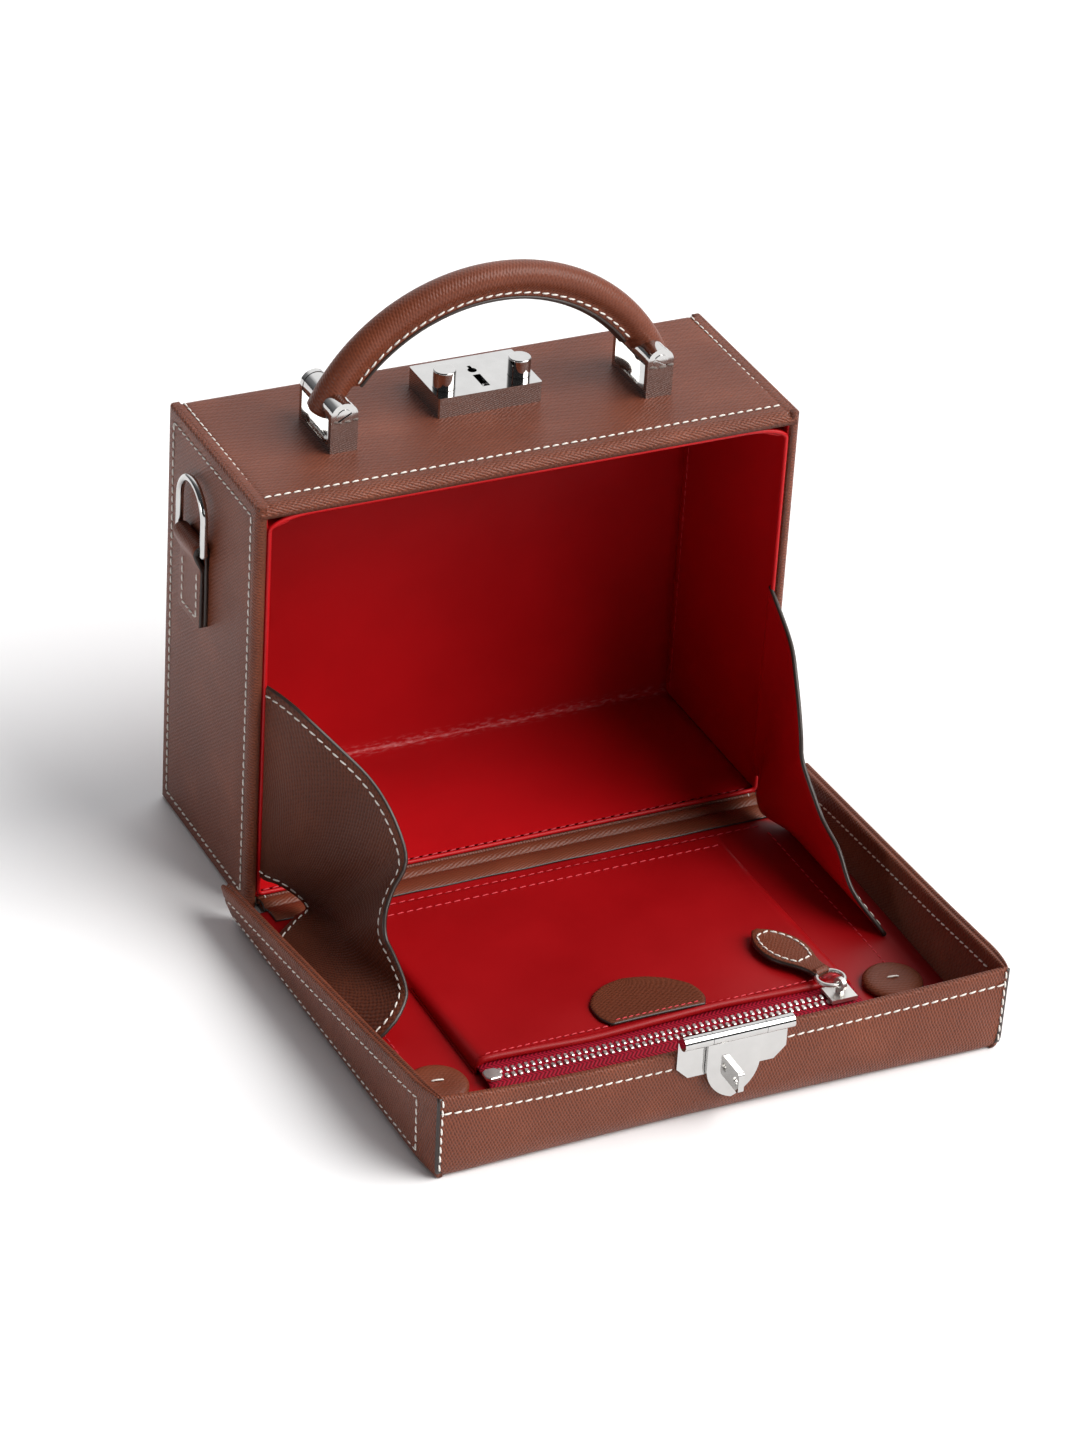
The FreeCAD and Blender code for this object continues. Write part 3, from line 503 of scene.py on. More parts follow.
def grid_rim(rows, cols):
    """Row and column of the points round a grid's rim."""
    rim = [(0, j) for j in range(cols - 1)] + [(i, cols - 1) for i in range(rows - 1)]
    return rim + [(rows - 1, j) for j in range(cols - 1, 0, -1)] + [(i, 0) for i in range(rows - 1, 0, -1)]


def grid_normals(points):
    """The way each point of a grid faces."""
    rows, cols = len(points), len(points[0])
    normals = []
    for i in range(rows):
        line = []
        for j in range(cols):
            down = points[min(i + 1, rows - 1)][j] - points[max(i - 1, 0)][j]
            across = points[i][min(j + 1, cols - 1)] - points[i][max(j - 1, 0)]
            line.append(down.cross(across).normalized())
        normals.append(line)
    return normals


def sheet_piece(name, grid, thickness, front, back=None, edge=None):
    """A sheet of leather about a grid of points, with a front, a back and a rounded rim; the back and
    the rim are like the front unless they have their own material."""
    rim_roundness = 0.8
    rows, cols = len(grid), len(grid[0])
    points = [[Vector(p) for p in row] for row in grid]
    normals = grid_normals(points)
    half = thickness / 2
    down_length = running([row[cols // 2] for row in points])
    across_length = running(points[rows // 2])
    verts = []
    faces = []
    uvs = []
    slots = []
    for layer, way in ((0, half), (1, -half)):
        base = len(verts)
        verts += [points[i][j] + normals[i][j] * way for i in range(rows) for j in range(cols)]
        for corners in grid_corners(rows, cols):
            ordered = corners[::-1] if layer else corners
            faces.append([base + a * cols + b for a, b in ordered])
            uvs += [(across_length[b], down_length[a]) for a, b in ordered]
            slots.append(layer)
    rim = grid_rim(rows, cols)
    first = len(verts)
    for i, j in rim:
        inner = points[min(max(i, 1), rows - 2)][min(max(j, 1), cols - 2)]
        outward = (points[i][j] - inner).normalized()
        verts.append(points[i][j] + outward * half * rim_roundness)
    ring_length = running([points[i][j] for i, j in rim] + [points[0][0]])
    for k in range(len(rim)):
        m = (k + 1) % len(rim)
        start, end = ring_length[k:k + 2]
        for base in (0, rows * cols):
            a, b = [base + i * cols + j for i, j in (rim[k], rim[m])]
            faces.append((a, b, first + m, first + k) if base else (b, a, first + k, first + m))
            uvs += [(start, 0), (end, 0), (end, half), (start, half)]
            slots.append(2)
    return piece(name, verts, faces, [front, back or front, edge or front], slots, uvs)


def fall(distance, radius):
    """How far a rounded edge lies below its face, at a distance in from the edge."""
    if distance >= radius or radius <= 0:
        return 0.0
    return radius - math.sqrt(max(radius ** 2 - (radius - distance) ** 2, 0.0))


def cut_lines(size, radii, grooves):
    """Grid places that follow the rounded edges and the sewn grooves."""
    places = {0.0, size}
    for share in edge_shares:
        places.add(radii[0] * share)
        places.add(size - radii[1] * share)
    for place in grooves:
        for share in groove_shares:
            places.add(place + share * groove_reach)
    for place in steps(0.0, size, int(size / panel_step)):
        if all(abs(place - other) > panel_step / 4 for other in list(places)):
            places.add(place)
    return sorted(place for place in places if 0.0 <= place <= size)


def relief(name, origin, u_axis, v_axis, size, thickness, radii, grooves, material, crown=0.0):
    """A leather panel with rounded edges, pressed grooves under its stitches and a soft crown.
    radii are for u low, u high, v low, v high; grooves are ("u" or "v", place, start, end)."""
    origin, u_axis, v_axis = Vector(origin), Vector(u_axis), Vector(v_axis)
    normal = u_axis.cross(v_axis)
    wide, tall = size
    us = cut_lines(wide, radii[:2], [g[1] for g in grooves if g[0] == "u"])
    vs = cut_lines(tall, radii[2:], [g[1] for g in grooves if g[0] == "v"])

    def level(u, v):
        drop = max(fall(place, radius) for place, radius in zip((u, wide - u, v, tall - v), radii))
        pressed = 0.0
        for axis, place, start, end in grooves:
            off, along = (u - place, v) if axis == "u" else (v - place, u)
            if start <= along <= end:
                pressed = max(pressed, groove_depth * bell(off, groove_reach / 2))
        puff = crown * math.sin(math.pi * u / wide) * math.sin(math.pi * v / tall)
        return puff - drop - pressed

    verts = [origin + u_axis * u + v_axis * v + normal * level(u, v) for u in us for v in vs]
    u_length = running([(u, level(u, tall / 2), 0) for u in us])
    v_length = running([(v, level(wide / 2, v), 0) for v in vs])
    uvs = []
    faces = []
    rows, cols = len(us), len(vs)
    for corners in grid_corners(rows, cols):
        faces.append([a * cols + b for a, b in corners])
        uvs += [(u_length[a], v_length[b]) for a, b in corners]
    rim = [(i, j) for j, i in grid_rim(cols, rows)]
    first = len(verts)
    verts += [origin + u_axis * us[i] + v_axis * vs[j] - normal * thickness for i, j in rim]
    for k in range(len(rim)):
        m = (k + 1) % len(rim)
        faces.append([rim[k][0] * cols + rim[k][1], first + k, first + m, rim[m][0] * cols + rim[m][1]])
        uvs += [(us[i] + shift, vs[j] + shift) for (i, j), shift in
                ((rim[k], 0), (rim[k], thickness), (rim[m], thickness), (rim[m], 0))]
    faces.append([first + k for k in range(len(rim))][::-1])
    uvs += [(us[i], vs[j]) for i, j in rim][::-1]
    return piece(name, verts, faces, [material], None, uvs)


def rides(made, body, slot_name, *replaced):
    """Sets a piece on its body and hides the CAD nodes that it stands for; slot_name is not used."""
    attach(made, body)
    if replaced:
        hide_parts(*replaced)


# Stitches are gathered by thread and by what they ride on, then made as one piece each
sewn = {}


def seam(group, points, normals, pitch=stitch_pitch, length=stitch_length):
    """Adds a row of stitches along a line of surface points."""
    points = [Vector(p) for p in points]
    normals = [Vector(n) for n in normals]
    places = running(points)
    least = 1e-9

    def at(s):
        k = 0
        while k < len(points) - 2 and s > places[k + 1]:
            k += 1
        f = (s - places[k]) / max(places[k + 1] - places[k], least)
        return points[k].lerp(points[k + 1], f), normals[k].lerp(normals[k + 1], f).normalized()

    count = max(1, round(places[-1] / pitch))
    step = places[-1] / count
    for k in range(count):
        centre = (k + 0.5) * step
        start, _ = at(centre - length / 2)
        end, _ = at(centre + length / 2)
        sewn.setdefault(group, []).append((start, end, at(centre)[1]))


def flat_seam(group, line, normal, **sizes):
    """Adds a row of stitches on a surface that faces one way."""
    seam(group, line, [normal] * len(line), **sizes)


def mirrored_seam(group, start, end, normal):
    """Adds a straight row of stitches on the left and the same on the right."""
    for side in (-1, 1):
        flat_seam(group, [(side * x, y, z) for x, y, z in (start, end)], normal)


def cross_seam(group, half, y, z, normal, **sizes):
    """Adds a straight row of stitches from left to right."""
    flat_seam(group, [(-half, y, z), (half, y, z)], normal, **sizes)


def cornered_seam(group, corners, normal):
    """Adds a row of stitches between each corner and the next."""
    for pair in zip(corners, corners[1:]):
        flat_seam(group, pair, normal)


def make_stitches(group, name, material):
    """All the stitches of a group as one piece."""
    radius = stitch_radius if material == thread else red_stitch_radius
    verts = []
    faces = []
    for start, end, normal in sewn[group]:
        ahead = (end - start).normalized()
        side = normal.cross(ahead).normalized()
        faces += tube_faces(len(verts), len(stitch_shape), stitch_sides)
        for share, girth, lift in stitch_shape:
            centre = start.lerp(end, share) + side * stitch_slant * (2 * share - 1) + normal * lift * radius
            verts += circle(centre, side, normal, radius * girth, stitch_sides)
    return piece(name, verts, faces, [material], closed=False)


# Materials

def feed(tree, made, inputs):
    """Gives a node's inputs, by name or number, a value, a colour or another node's output."""
    for key, value in inputs.items():
        entry = made.inputs[key]
        if isinstance(value, (int, float)):
            entry.default_value = value
        elif isinstance(value, tuple):
            entry.default_value = (*value, 1)[:len(entry.default_value)]
        else:
            tree.links.new(value, entry)


def shader(name, colour, roughness=0.5, metallic=0.0):
    """A material with its node tree and its main node."""
    material = bpy.data.materials.new(name)
    material.use_nodes = True
    tree = material.node_tree
    base = tree.nodes["Principled BSDF"]
    feed(tree, base, {"Base Color": colour, "Roughness": roughness, "Metallic": metallic})
    return material, tree, base


def node(tree, kind, inputs, **settings):
    made = tree.nodes.new("ShaderNode" + kind)
    for key, value in settings.items():
        setattr(made, key, value)
    feed(tree, made, inputs)
    return made


def place_of(tree, by_object=False, scale=(1, 1, 1), turn=0.0):
    """Texture places: millimetres over the surface, or the object's own metres."""
    source = node(tree, "TexCoord", {}).outputs["Object" if by_object else "UV"]
    inputs = {"Vector": source, "Scale": scale, "Rotation": (0, 0, math.radians(turn))}
    return node(tree, "Mapping", inputs).outputs["Vector"]


def ramp(tree, source, stops):
    made = node(tree, "ValToRGB", {"Fac": source})
    line = made.color_ramp
    while len(line.elements) < len(stops):
        line.elements.new(0.5)
    for element, (place, colour) in zip(line.elements, stops):
        element.position = place
        element.color = (*colour, 1)
    return made.outputs["Color"]


def math_node(tree, operation, a, b):
    return node(tree, "Math", {0: a, 1: b}, operation=operation).outputs[0]


def blended(tree, factor, a, b, how="MIX"):
    return node(tree, "Mix", {0: factor, 6: a, 7: b}, data_type="RGBA", blend_type=how).outputs[2]


def mottled(tree, coords, scale, detail=4.0):
    return node(tree, "TexNoise", {"Vector": coords, "Scale": scale, "Detail": detail}).outputs[0]


def rescaled(tree, source, low, high, start=0.0, end=1.0):
    """A value moved from the range start to end into the range low to high."""
    return node(tree, "MapRange", {"Value": source, 1: start, 2: end, 3: low, 4: high}).outputs[0]


def bumped(tree, base, source, strength, distance):
    made = node(tree, "Bump", {"Height": source, "Strength": strength, "Distance": distance})
    feed(tree, base, {"Normal": made.outputs[0]})


def pressed_rows(tree, turn, scale, waviness, wave_scale, share):
    """Wavy rows of grain, turned to their own angle."""
    inputs = {"Vector": place_of(tree, turn=turn), "Scale": scale, "Distortion": waviness, "Detail": 2.0,
              "Detail Scale": wave_scale}
    rows = node(tree, "TexWave", inputs, bands_direction="Y").outputs[1]
    return math_node(tree, "MULTIPLY", rows, share)


def brown_leather(name, grain=1.0, shade=1.0, specular=0.26):
    """Chestnut leather with a fine crossed grain pressed into it."""
    material, tree, base = shader(name, brown)
    coords = place_of(tree)
    cloudy = mottled(tree, coords, scale=0.035)
    fine = mottled(tree, coords, scale=0.9, detail=3.0)
    pressed = math_node(tree, "ADD", *[pressed_rows(tree, *row) for row in grain_rows])
    rough_grain = math_node(tree, "ADD", pressed, math_node(tree, "MULTIPLY", fine, fine_share))
    dark, plain, light = [shaded(tone, shade) for tone in (brown_dark, brown, brown_light)]
    clouds = ramp(tree, cloudy, [(0.25, mix_tone(dark, plain, cloud_tone)), (0.5, plain), (0.8, light)])
    depth = ramp(tree, rough_grain, [(0.3, grain_dark), (0.72, grain_clear)])
    feed(tree, base, {"Base Color": blended(tree, grain_tone * grain, clouds, depth, "MULTIPLY"),
                      "Roughness": rescaled(tree, fine, low=0.3, high=0.5), "Specular IOR Level": specular})
    bumped(tree, base, rough_grain, strength=0.85 * grain, distance=0.00028)
    return material


def red_leather(name, shade=1.0, crease=None):
    """Smooth red lining leather; crease is a place along its length where it has been worn pale."""
    material, tree, base = shader(name, red)
    coords = place_of(tree)
    cloudy = mottled(tree, coords, scale=0.02, detail=5.0)
    fine = mottled(tree, coords, scale=1.6)
    low, high = [shaded(tone, shade) for tone in (mix_tone(red_dark, red, red_cloud_tone), red)]
    colour = ramp(tree, cloudy, [(0.3, low), (0.62, high)])
    if crease is not None:
        along = node(tree, "SeparateXYZ", {0: coords}).outputs[1]
        off = math_node(tree, "ABSOLUTE", math_node(tree, "SUBTRACT", along, crease), 0.0)
        near = rescaled(tree, off, low=1.0, high=0.0, end=crease_reach)
        flecks = mottled(tree, place_of(tree, scale=fleck_stretch), scale=0.8, detail=6.0)
        broken = rescaled(tree, flecks, low=0.0, high=0.9, start=0.48, end=0.72)
        colour = blended(tree, math_node(tree, "MULTIPLY", near, broken), colour, crease_pink)
    feed(tree, base, {"Base Color": colour, "Roughness": rescaled(tree, cloudy, low=0.32, high=0.5),
                      "Specular IOR Level": 0.22})
    bumped(tree, base, fine, strength=0.25, distance=0.00006)
    return material


def metal(name, colour, roughness):
    """Plated or bare metal with faint smears."""
    material, tree, base = shader(name, colour, metallic=1.0)
    smears = mottled(tree, place_of(tree, by_object=True), scale=160.0)
    feed(tree, base, {"Roughness": rescaled(tree, smears, low=roughness * 0.6, high=roughness * 1.7),
                      "Base Color": ramp(tree, smears, [(0.3, shaded(colour, 0.93)), (0.7, colour)])})
    return material


def plain_grain(name, colour, roughness, scale, depth, by_object=False):
    """A quiet material with a fine mottled tone and surface."""
    material, tree, base = shader(name, colour, roughness)
    mottle = mottled(tree, place_of(tree, by_object=by_object), scale)
    feed(tree, base, {"Base Color": ramp(tree, mottle, [(0.3, shaded(colour, 0.72)), (0.7, colour)])})
    bumped(tree, base, mottle, strength=0.4, distance=depth)
    return material


def woven_tape(name):
    """Zip tape with a herringbone weave."""
    material, tree, base = shader(name, crimson, roughness=0.62)
    parts = node(tree, "SeparateXYZ", {0: place_of(tree)})
    folded = math_node(tree, "PINGPONG", parts.outputs[1], weave_band)
    twill = math_node(tree, "PINGPONG", math_node(tree, "ADD", parts.outputs[0], folded), weave_width)
    share = math_node(tree, "DIVIDE", twill, weave_width)
    feed(tree, base, {"Base Color": ramp(tree, share, [(0.1, shaded(crimson, 0.3)), (0.8, crimson)]),
                      "Specular IOR Level": 0.12})
    bumped(tree, base, twill, strength=0.7, distance=0.0003)
    return material


leather_brown = brown_leather("leather_brown", shade=1.2)
leather_soft = brown_leather("leather_soft", grain=0.5, shade=1.08)
# Gusset leather is the brown leather made darker: painted shade, as the gussets sit in shade between the
# body and the lid.
leather_gusset_painted_shade = brown_leather("leather_gusset_painted_shade", grain=0.8, shade=0.8, specular=0.18)
leather_patch = brown_leather("leather_patch", grain=0.8, shade=0.9, specular=0.12)
# The body's lining red, also on the welt and the gussets' inner faces, is a brighter copy of the red leather
# than the pocket's: painted light inside the body, where the lamps reach less.
lining_painted_light = 1.35
lining_red_painted_light = red_leather("lining_red_painted_light", shade=lining_painted_light)
pocket_red = red_leather("pocket_red", shade=0.92)
thread = plain_grain("thread_white", thread_white, roughness=0.75, scale=2.2, depth=0.0002)
thread_red = plain_grain("thread_red", thread_pink, roughness=0.7, scale=2.2, depth=0.0002)
edge_paint = plain_grain("edge_paint", edge_brown, roughness=0.38, scale=0.7, depth=0.0001)
chrome = metal("nickel_plate", nickel, roughness=0.06)
steel = metal("plain_steel", steel_grey, roughness=0.3)
zip_metal = metal("zip_nickel", zip_nickel, roughness=0.34)
tape_red = woven_tape("zip_tape_weave")
board_material = plain_grain("stiff_board", board_grey, roughness=0.85, scale=300.0, depth=0.0002,
                             by_object=True)
core_material = plain_grain("cord_core", core_white, roughness=0.9, scale=400.0, depth=0.0003,
                            by_object=True)


# CAD nodes that stay, with finished surfaces

def keep_nodes(names, material):
    for name in names:
        nodes[name].data.materials.clear()
        nodes[name].data.materials.append(material)


def keep_frame():
    pairs = [part + name for part in ("bracket_", "handle_fitting_", "knob_", "d_ring_")
             for name in ("left", "right")]
    keep_nodes(pairs + ["bracket_rivets", "handle_screws", "lock_housing"], chrome)
    keep_nodes(["hasp_plate", "hasp_pin", "hasp_flap", "hasp_staple"], chrome)
    keep_nodes(["zip_slider", "zip_pull_ring"], zip_metal)
    keep_nodes(["lock_base", "latch_left", "latch_right", "key_cam"], steel)
    inside_walls = ("lid_left_board", "lid_right_board", "lid_front_board")
    boards = [name for name in nodes if name.endswith("_board") and name not in inside_walls]
    keep_nodes(boards, board_material)
    keep_nodes(["handle_core"], core_material)


def latch_springs():
    """The two small coils behind the lock's latches."""
    wire, wire_room = 0.22, 0.25
    turns, turn_steps = 6, 14
    for side, name in both_sides:
        low, high = span("latch_spring_" + name)
        radius = (high.z - low.z) / 2 - wire_room
        centre = (low + high) / 2
        path = []
        for t in steps(0.0, 1.0, turns * turn_steps):
            a = 2 * math.pi * turns * t
            y, z = centre.y + radius * math.cos(a), centre.z + radius * math.sin(a)
            path.append((mix(low.x, high.x, t), y, z))
        coil = swept("latch_coil_" + name, path, wire, steel, around=6)
        rides(coil, "case", "plain_steel", "latch_spring_" + name)
        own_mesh(coil)


# Body

def case_panels():
    """The body's outer leather: top, back and bottom, then the sides."""
    back_foot, back_gap, back_thickness, bottom_thickness = 0.2, 0.3, 3.0, 1.5
    seam_start, seam_end, seam_drop, back_seam = 1.5, 1.0, 0.9, 2.0
    top_half = half_width - top_inset
    top_width = 2 * top_half
    depth = back_y - front_y
    side_line = top_half - stitch_x
    grooves = [("u", side_line, 0, depth), ("u", top_width - side_line, 0, depth),
               ("v", front_stitch, side_line, top_width - side_line)]
    top = relief("case_top", (-top_half, front_y, height), rightward, backward, (top_width, depth), wall,
                 (small_radius, small_radius, roll_radius, back_roll_radius), grooves, leather_brown)
    rides(top, "case", "brown_leather", "case_top_leather", "opening_binding")
    mirrored_seam("case", (stitch_x, back_y - seam_start, height),
                  (stitch_x, front_y + seam_end, height - seam_drop), upward)
    cross_seam("case", stitch_x, front_y + front_stitch, height, upward)
    small_radii = (small_radius,) * 4
    size = (top_width, height - wall - back_gap)
    back = relief("case_back", (top_half, back_y, back_foot), -rightward, upward, size, back_thickness,
                  small_radii, grooves[:2], leather_brown)
    rides(back, "case", "brown_leather", "case_back_leather")
    start, end = [(stitch_x, back_y, z) for z in (back_seam, height - wall - back_seam)]
    mirrored_seam("case", start, end, backward)
    size = (top_width, depth - opening_depth)
    bottom = relief("case_bottom", (-top_half, back_y, 0), rightward, frontward, size, bottom_thickness,
                    small_radii, [], leather_brown)
    rides(bottom, "case", "brown_leather", "case_bottom_leather")
    case_sides(depth)


def case_sides(depth):
    """Left and right leather, and the dark line between each of them and the top."""
    top_gap, thickness = 0.1, wall - 0.9
    edge_line = ((-0.5, -1.6), (0.5, -1.6), (0.4, -0.35), (-0.4, -0.35))
    edge_line_shift, edge_line_ends = 0.25, (front_y + 0.6, back_y - 3.2)
    length = height - top_gap - side_setback
    width = depth - side_front_gap - side_setback
    low_y, high_y = front_y + side_front_gap + side_stitch, back_y - side_setback - side_stitch
    low_z, high_z = side_setback + side_stitch, side_setback + length - side_stitch
    radii = {-1: (side_edge_radius, side_roll_radius), 1: (side_roll_radius, side_edge_radius)}
    grooves = []
    for axis, size, across in (("u", width, length), ("v", length, width)):
        for line in (side_stitch, size - side_stitch):
            grooves.append((axis, line, side_stitch, across - side_stitch))
    for side, name in both_sides:
        x = side * half_width
        origin = (x, back_y - side_setback if side < 0 else front_y + side_front_gap, side_setback)
        panel = relief("case_" + name, origin, side * backward, upward, (width, length), thickness,
                       radii[side] + (side_edge_radius,) * 2, grooves, leather_brown, side_crown)
        rides(panel, "case", "brown_leather", "case_" + name + "_leather")
        corners = [(low_y, low_z), (low_y, high_z), (high_y, high_z), (high_y, low_z), (low_y, low_z)]
        cornered_seam("case", [(x, y, z) for y, z in corners], side * rightward)
        strip_x = side * (half_width - top_inset + edge_line_shift)
        rings = [[(strip_x + dx, y, height + dz) for dx, dz in edge_line] for y in edge_line_ends]
        rides(ring_piece("edge_line_" + name, rings, edge_paint), "case", "brown_leather")


def opening_edges():
    """The rolled leather edge under the opening and the red welt just inside it."""
    low_z, high_z, nose = 0.5, wall, 1.9
    end_gap, end_seam, welt_radius = 0.2, 3.2, 0.85
    profile = arc((front_y + nose, low_z + nose), nose, 270, 180, 5)
    profile += arc((front_y + nose, high_z - nose), nose, 180, 90, 5)
    nose_points = profile[1:-1]
    profile += [(front_y + opening_depth, high_z), (front_y + opening_depth, low_z)]
    reach = inner_x - end_gap
    rings = [[(x, y, z) for y, z in profile] for x in steps(-reach, reach, 40)]
    rides(ring_piece("opening_roll", pinched(rings, 0.7), leather_soft), "case", "brown_leather")
    for x in (-inner_x + end_seam, inner_x - end_seam):
        line = [(x, y, z) for y, z in nose_points]
        centre = Vector((x, front_y + nose, (low_z + high_z) / 2))
        seam("case", line, [(Vector(p) - centre).normalized() for p in line], pitch=3.0, length=2.4)
    welt = swept("opening_welt", welt_path(), welt_radius, lining_red_painted_light, looped=True)
    rides(welt, "case", "red_leather")


def welt_path():
    """A loop round the opening, its upper corners eased."""
    y = front_y + 0.9
    low_z, high_z, x = wall + 0.7, height - wall - 0.5, inner_x - 0.5
    upper, lower = (17.0, 5.0), (2.0, 2.0)
    path = []
    for side, up, (wide, tall), start in ((1, 1, upper, 0), (-1, 1, upper, 90), (-1, -1, lower, 180),
                                          (1, -1, lower, 270)):
        centre_x = side * (x - wide)
        centre_z = high_z - tall if up > 0 else low_z + tall
        for a in steps(start, start + 90, 10):
            path.append((centre_x + wide * math.cos(math.radians(a)), y,
                         centre_z + tall * math.sin(math.radians(a))))
    return path


def lining_point(x, y, z, along, corner):
    """A point of the lining wrap: it droops at the top's front corners, ripples in the low back corner,
    and wavers a little."""
    droop_depth, droop_x, droop_width, droop_y, droop_length = 4.6, 84.0, 16.0, -8.0, 26.0
    ripple_depth, ripple_reach = 0.55, 5.0
    wave_depth, wave_low_z = 0.22, wall + 0.6
    droop = 0.0
    if z > height / 2:
        droop = droop_depth * smooth((abs(x) - droop_x) / droop_width) * smooth((droop_y - y) / droop_length)
    ripple = ripple_depth * bell(along - corner, ripple_reach) * uneven(x * 0.11, along * 0.22, 1.7)
    wave = wave_depth * uneven(x * 0.02, y * 0.03, z * 0.02) if z >= wave_low_z else 0.0
    return x, y - ripple - wave, z - droop + abs(ripple)


def lining():
    """The red lining: one sheet over top, back and bottom, and a panel on each side."""
    skin, bend, edge_gap = wall - 0.4, 2.0, 0.1
    top_z, low_z, far_y = height - skin, skin, back_y - skin
    near_y = front_y + lining_setback
    path = [(y, top_z) for y in steps(near_y, far_y - bend, 16)][:-1]
    path += arc((far_y - bend, top_z - bend), bend, 90, 0, 4)
    path += [(far_y, z) for z in steps(top_z - bend, low_z + bend, 24)][1:-1]
    crease_at = len(path) + 2
    path += arc((far_y - bend, low_z + bend), bend, 0, -90, 6)
    path += [(y, low_z) for y in steps(far_y - bend, near_y, 16)][1:]
    lengths = running([(0, y, z) for y, z in path])
    corner = lengths[crease_at]
    reach = inner_x - edge_gap
    grid = [[lining_point(x, y, z, along, corner) for x in steps(-reach, reach, 56)]
            for (y, z), along in zip(path, lengths)]
    # The creased sheet carries the same painted light as the rest of the body's lining.
    worn = red_leather("lining_red_creased", shade=lining_painted_light, crease=corner)
    wrap = sheet_piece("lining_wrap_sheet", grid, lining_thickness, worn)
    rides(wrap, "case", "red_leather", "lining_wrap")
    for side, name in both_sides:
        lining_side(side, name, near_y, far_y)
    cross_seam("case_red", inner_x - 3.0, near_y + 2.4, wall + 0.1, upward)


def lining_side(side, name, near_y, far_y):
    """A red panel inside one side of the body, with a row of stitches down its back edge."""
    thickness, edge_radius, seam_inset, seam_end = 0.7, 0.4, 3.5, 3.0
    x = side * inner_x
    origin = (x, near_y if side < 0 else far_y, wall)
    size = (far_y - near_y, height - 2 * wall)
    panel = relief("lining_side_" + name, origin, -side * backward, upward, size, thickness,
                   (edge_radius,) * 4, [], lining_red_painted_light)
    rides(panel, "case", "red_leather")
    if side < 0:
        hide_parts("lining_sides")
    line = [(x, far_y - seam_inset, z) for z in (wall + seam_end, height - wall - seam_end)]
    flat_seam("case_red", line, -side * rightward)


# Leather hinge and gussets

def hinge_leathers():
    """The brown cover strip inside the hinge and the outer strip that carries the lid."""
    reach = inner_x - 0.4
    waver, waver_pace = 0.12, 0.21
    path = [(front_y + y, z) for y, z in cover_at_body] + [(hinge_y + y, z) for y, z in cover_at_hinge]
    path += [(lid_lining_y + cover_at_lid[0], cover_at_lid[1])]
    grid = [[(x, y, z + waver * math.sin(x * waver_pace + y)) for x in steps(-reach, reach, 50)]
            for y, z in path]
    cover = sheet_piece("hinge_cover_sheet", grid, cover_thickness, leather_soft, edge=edge_paint)
    path = [(front_y + strip_at_body[0], strip_at_body[1])] + [(hinge_y + y, z) for y, z in strip_at_hinge]
    grid = [[(x, y, z) for x in steps(-reach, reach, 30)] for y, z in path]
    strip = sheet_piece("hinge_strip_sheet", grid, strip_thickness, leather_brown, edge=edge_paint)
    for made, old, length in ((cover, "hinge_cover", cover_cut), (strip, "hinge_strip", strip_cut)):
        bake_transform(made)
        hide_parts(old)


def table_row(table, t):
    """Angle, reach and push of a gusset edge at one place along it."""
    return [follow([(row[0], row[k]) for row in table], t) for k in (1, 2, 3)]


def gusset_point(side, f, r):
    """A point of a side gusset: f runs from the body's edge to the lid's, and r from the notch to the
    free edge."""
    outer = table_row(gusset_free_edge[side], f)
    inner = table_row(gusset_notch_edge, f)
    inner[2] *= gusset_notch_push[side]
    angle, reach, push = [mix(a, b, r) for a, b in zip(inner, outer)]
    at_lid = smooth(f / gusset_root_share)
    x = mix(gusset_body_root[0], gusset_root[0], at_lid) - push
    y = mix(gusset_body_root[1], gusset_root[1], at_lid) - reach * math.cos(math.radians(angle))
    return Vector((side * x, y, gusset_root[2] + reach * math.sin(math.radians(angle))))


def gussets():
    """The fan-shaped leather at each end of the hinge."""
    for side, name in both_sides:
        grid = [[gusset_point(side, f, r) for r in steps(0.0, 1.0, 16)] for f in steps(0.0, 1.0, 56)]
        order = grid if side < 0 else [row[::-1] for row in grid]
        # The outer face takes the darker gusset leather, which is painted shade.
        fan = sheet_piece("gusset_fan_" + name, order, gusset_thickness, leather_gusset_painted_shade, lining_red_painted_light,
                          edge_paint)
        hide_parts("gusset_" + name)
        gusset_stitches(side, name)
        threads = make_stitches("gusset_" + name, "gusset_thread_" + name, thread)
        for made in (fan, threads):
            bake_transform(made)


def gusset_stitches(side, name):
    """White thread along the free edge and round the notch, on the leather's outer face."""
    end_gap, ahead, free_inset, notch_inset = 0.012, 0.01, 3.0, 2.2
    for r, inward in ((1.0, -free_inset), (0.0, notch_inset)):
        line = []
        normals = []
        for f in steps(end_gap, 1 - end_gap, 80):
            along = gusset_point(side, min(f + ahead, 1), r) - gusset_point(side, f - ahead, r)
            across = gusset_point(side, f, 1.0) - gusset_point(side, f, 0.0)
            normal = across.cross(along).normalized() * side
            line.append(gusset_point(side, f, r + inward / across.length) + normal * gusset_thickness / 2)
            normals.append(normal)
        seam("gusset_" + name, line, normals)


# Tabs and handle

def ribbon(path, thickness):
    """The closed outline of a strip of even thickness along a flat path of pairs."""
    points = [Vector((a, b)) for a, b in path]
    left = []
    right = []
    for k, p in enumerate(points):
        ahead = (points[min(k + 1, len(points) - 1)] - points[max(k - 1, 0)]).normalized()
        across = Vector((-ahead.y, ahead.x)) * thickness / 2
        left.append(p + across)
        right.append(p - across)
    return left + right[::-1]


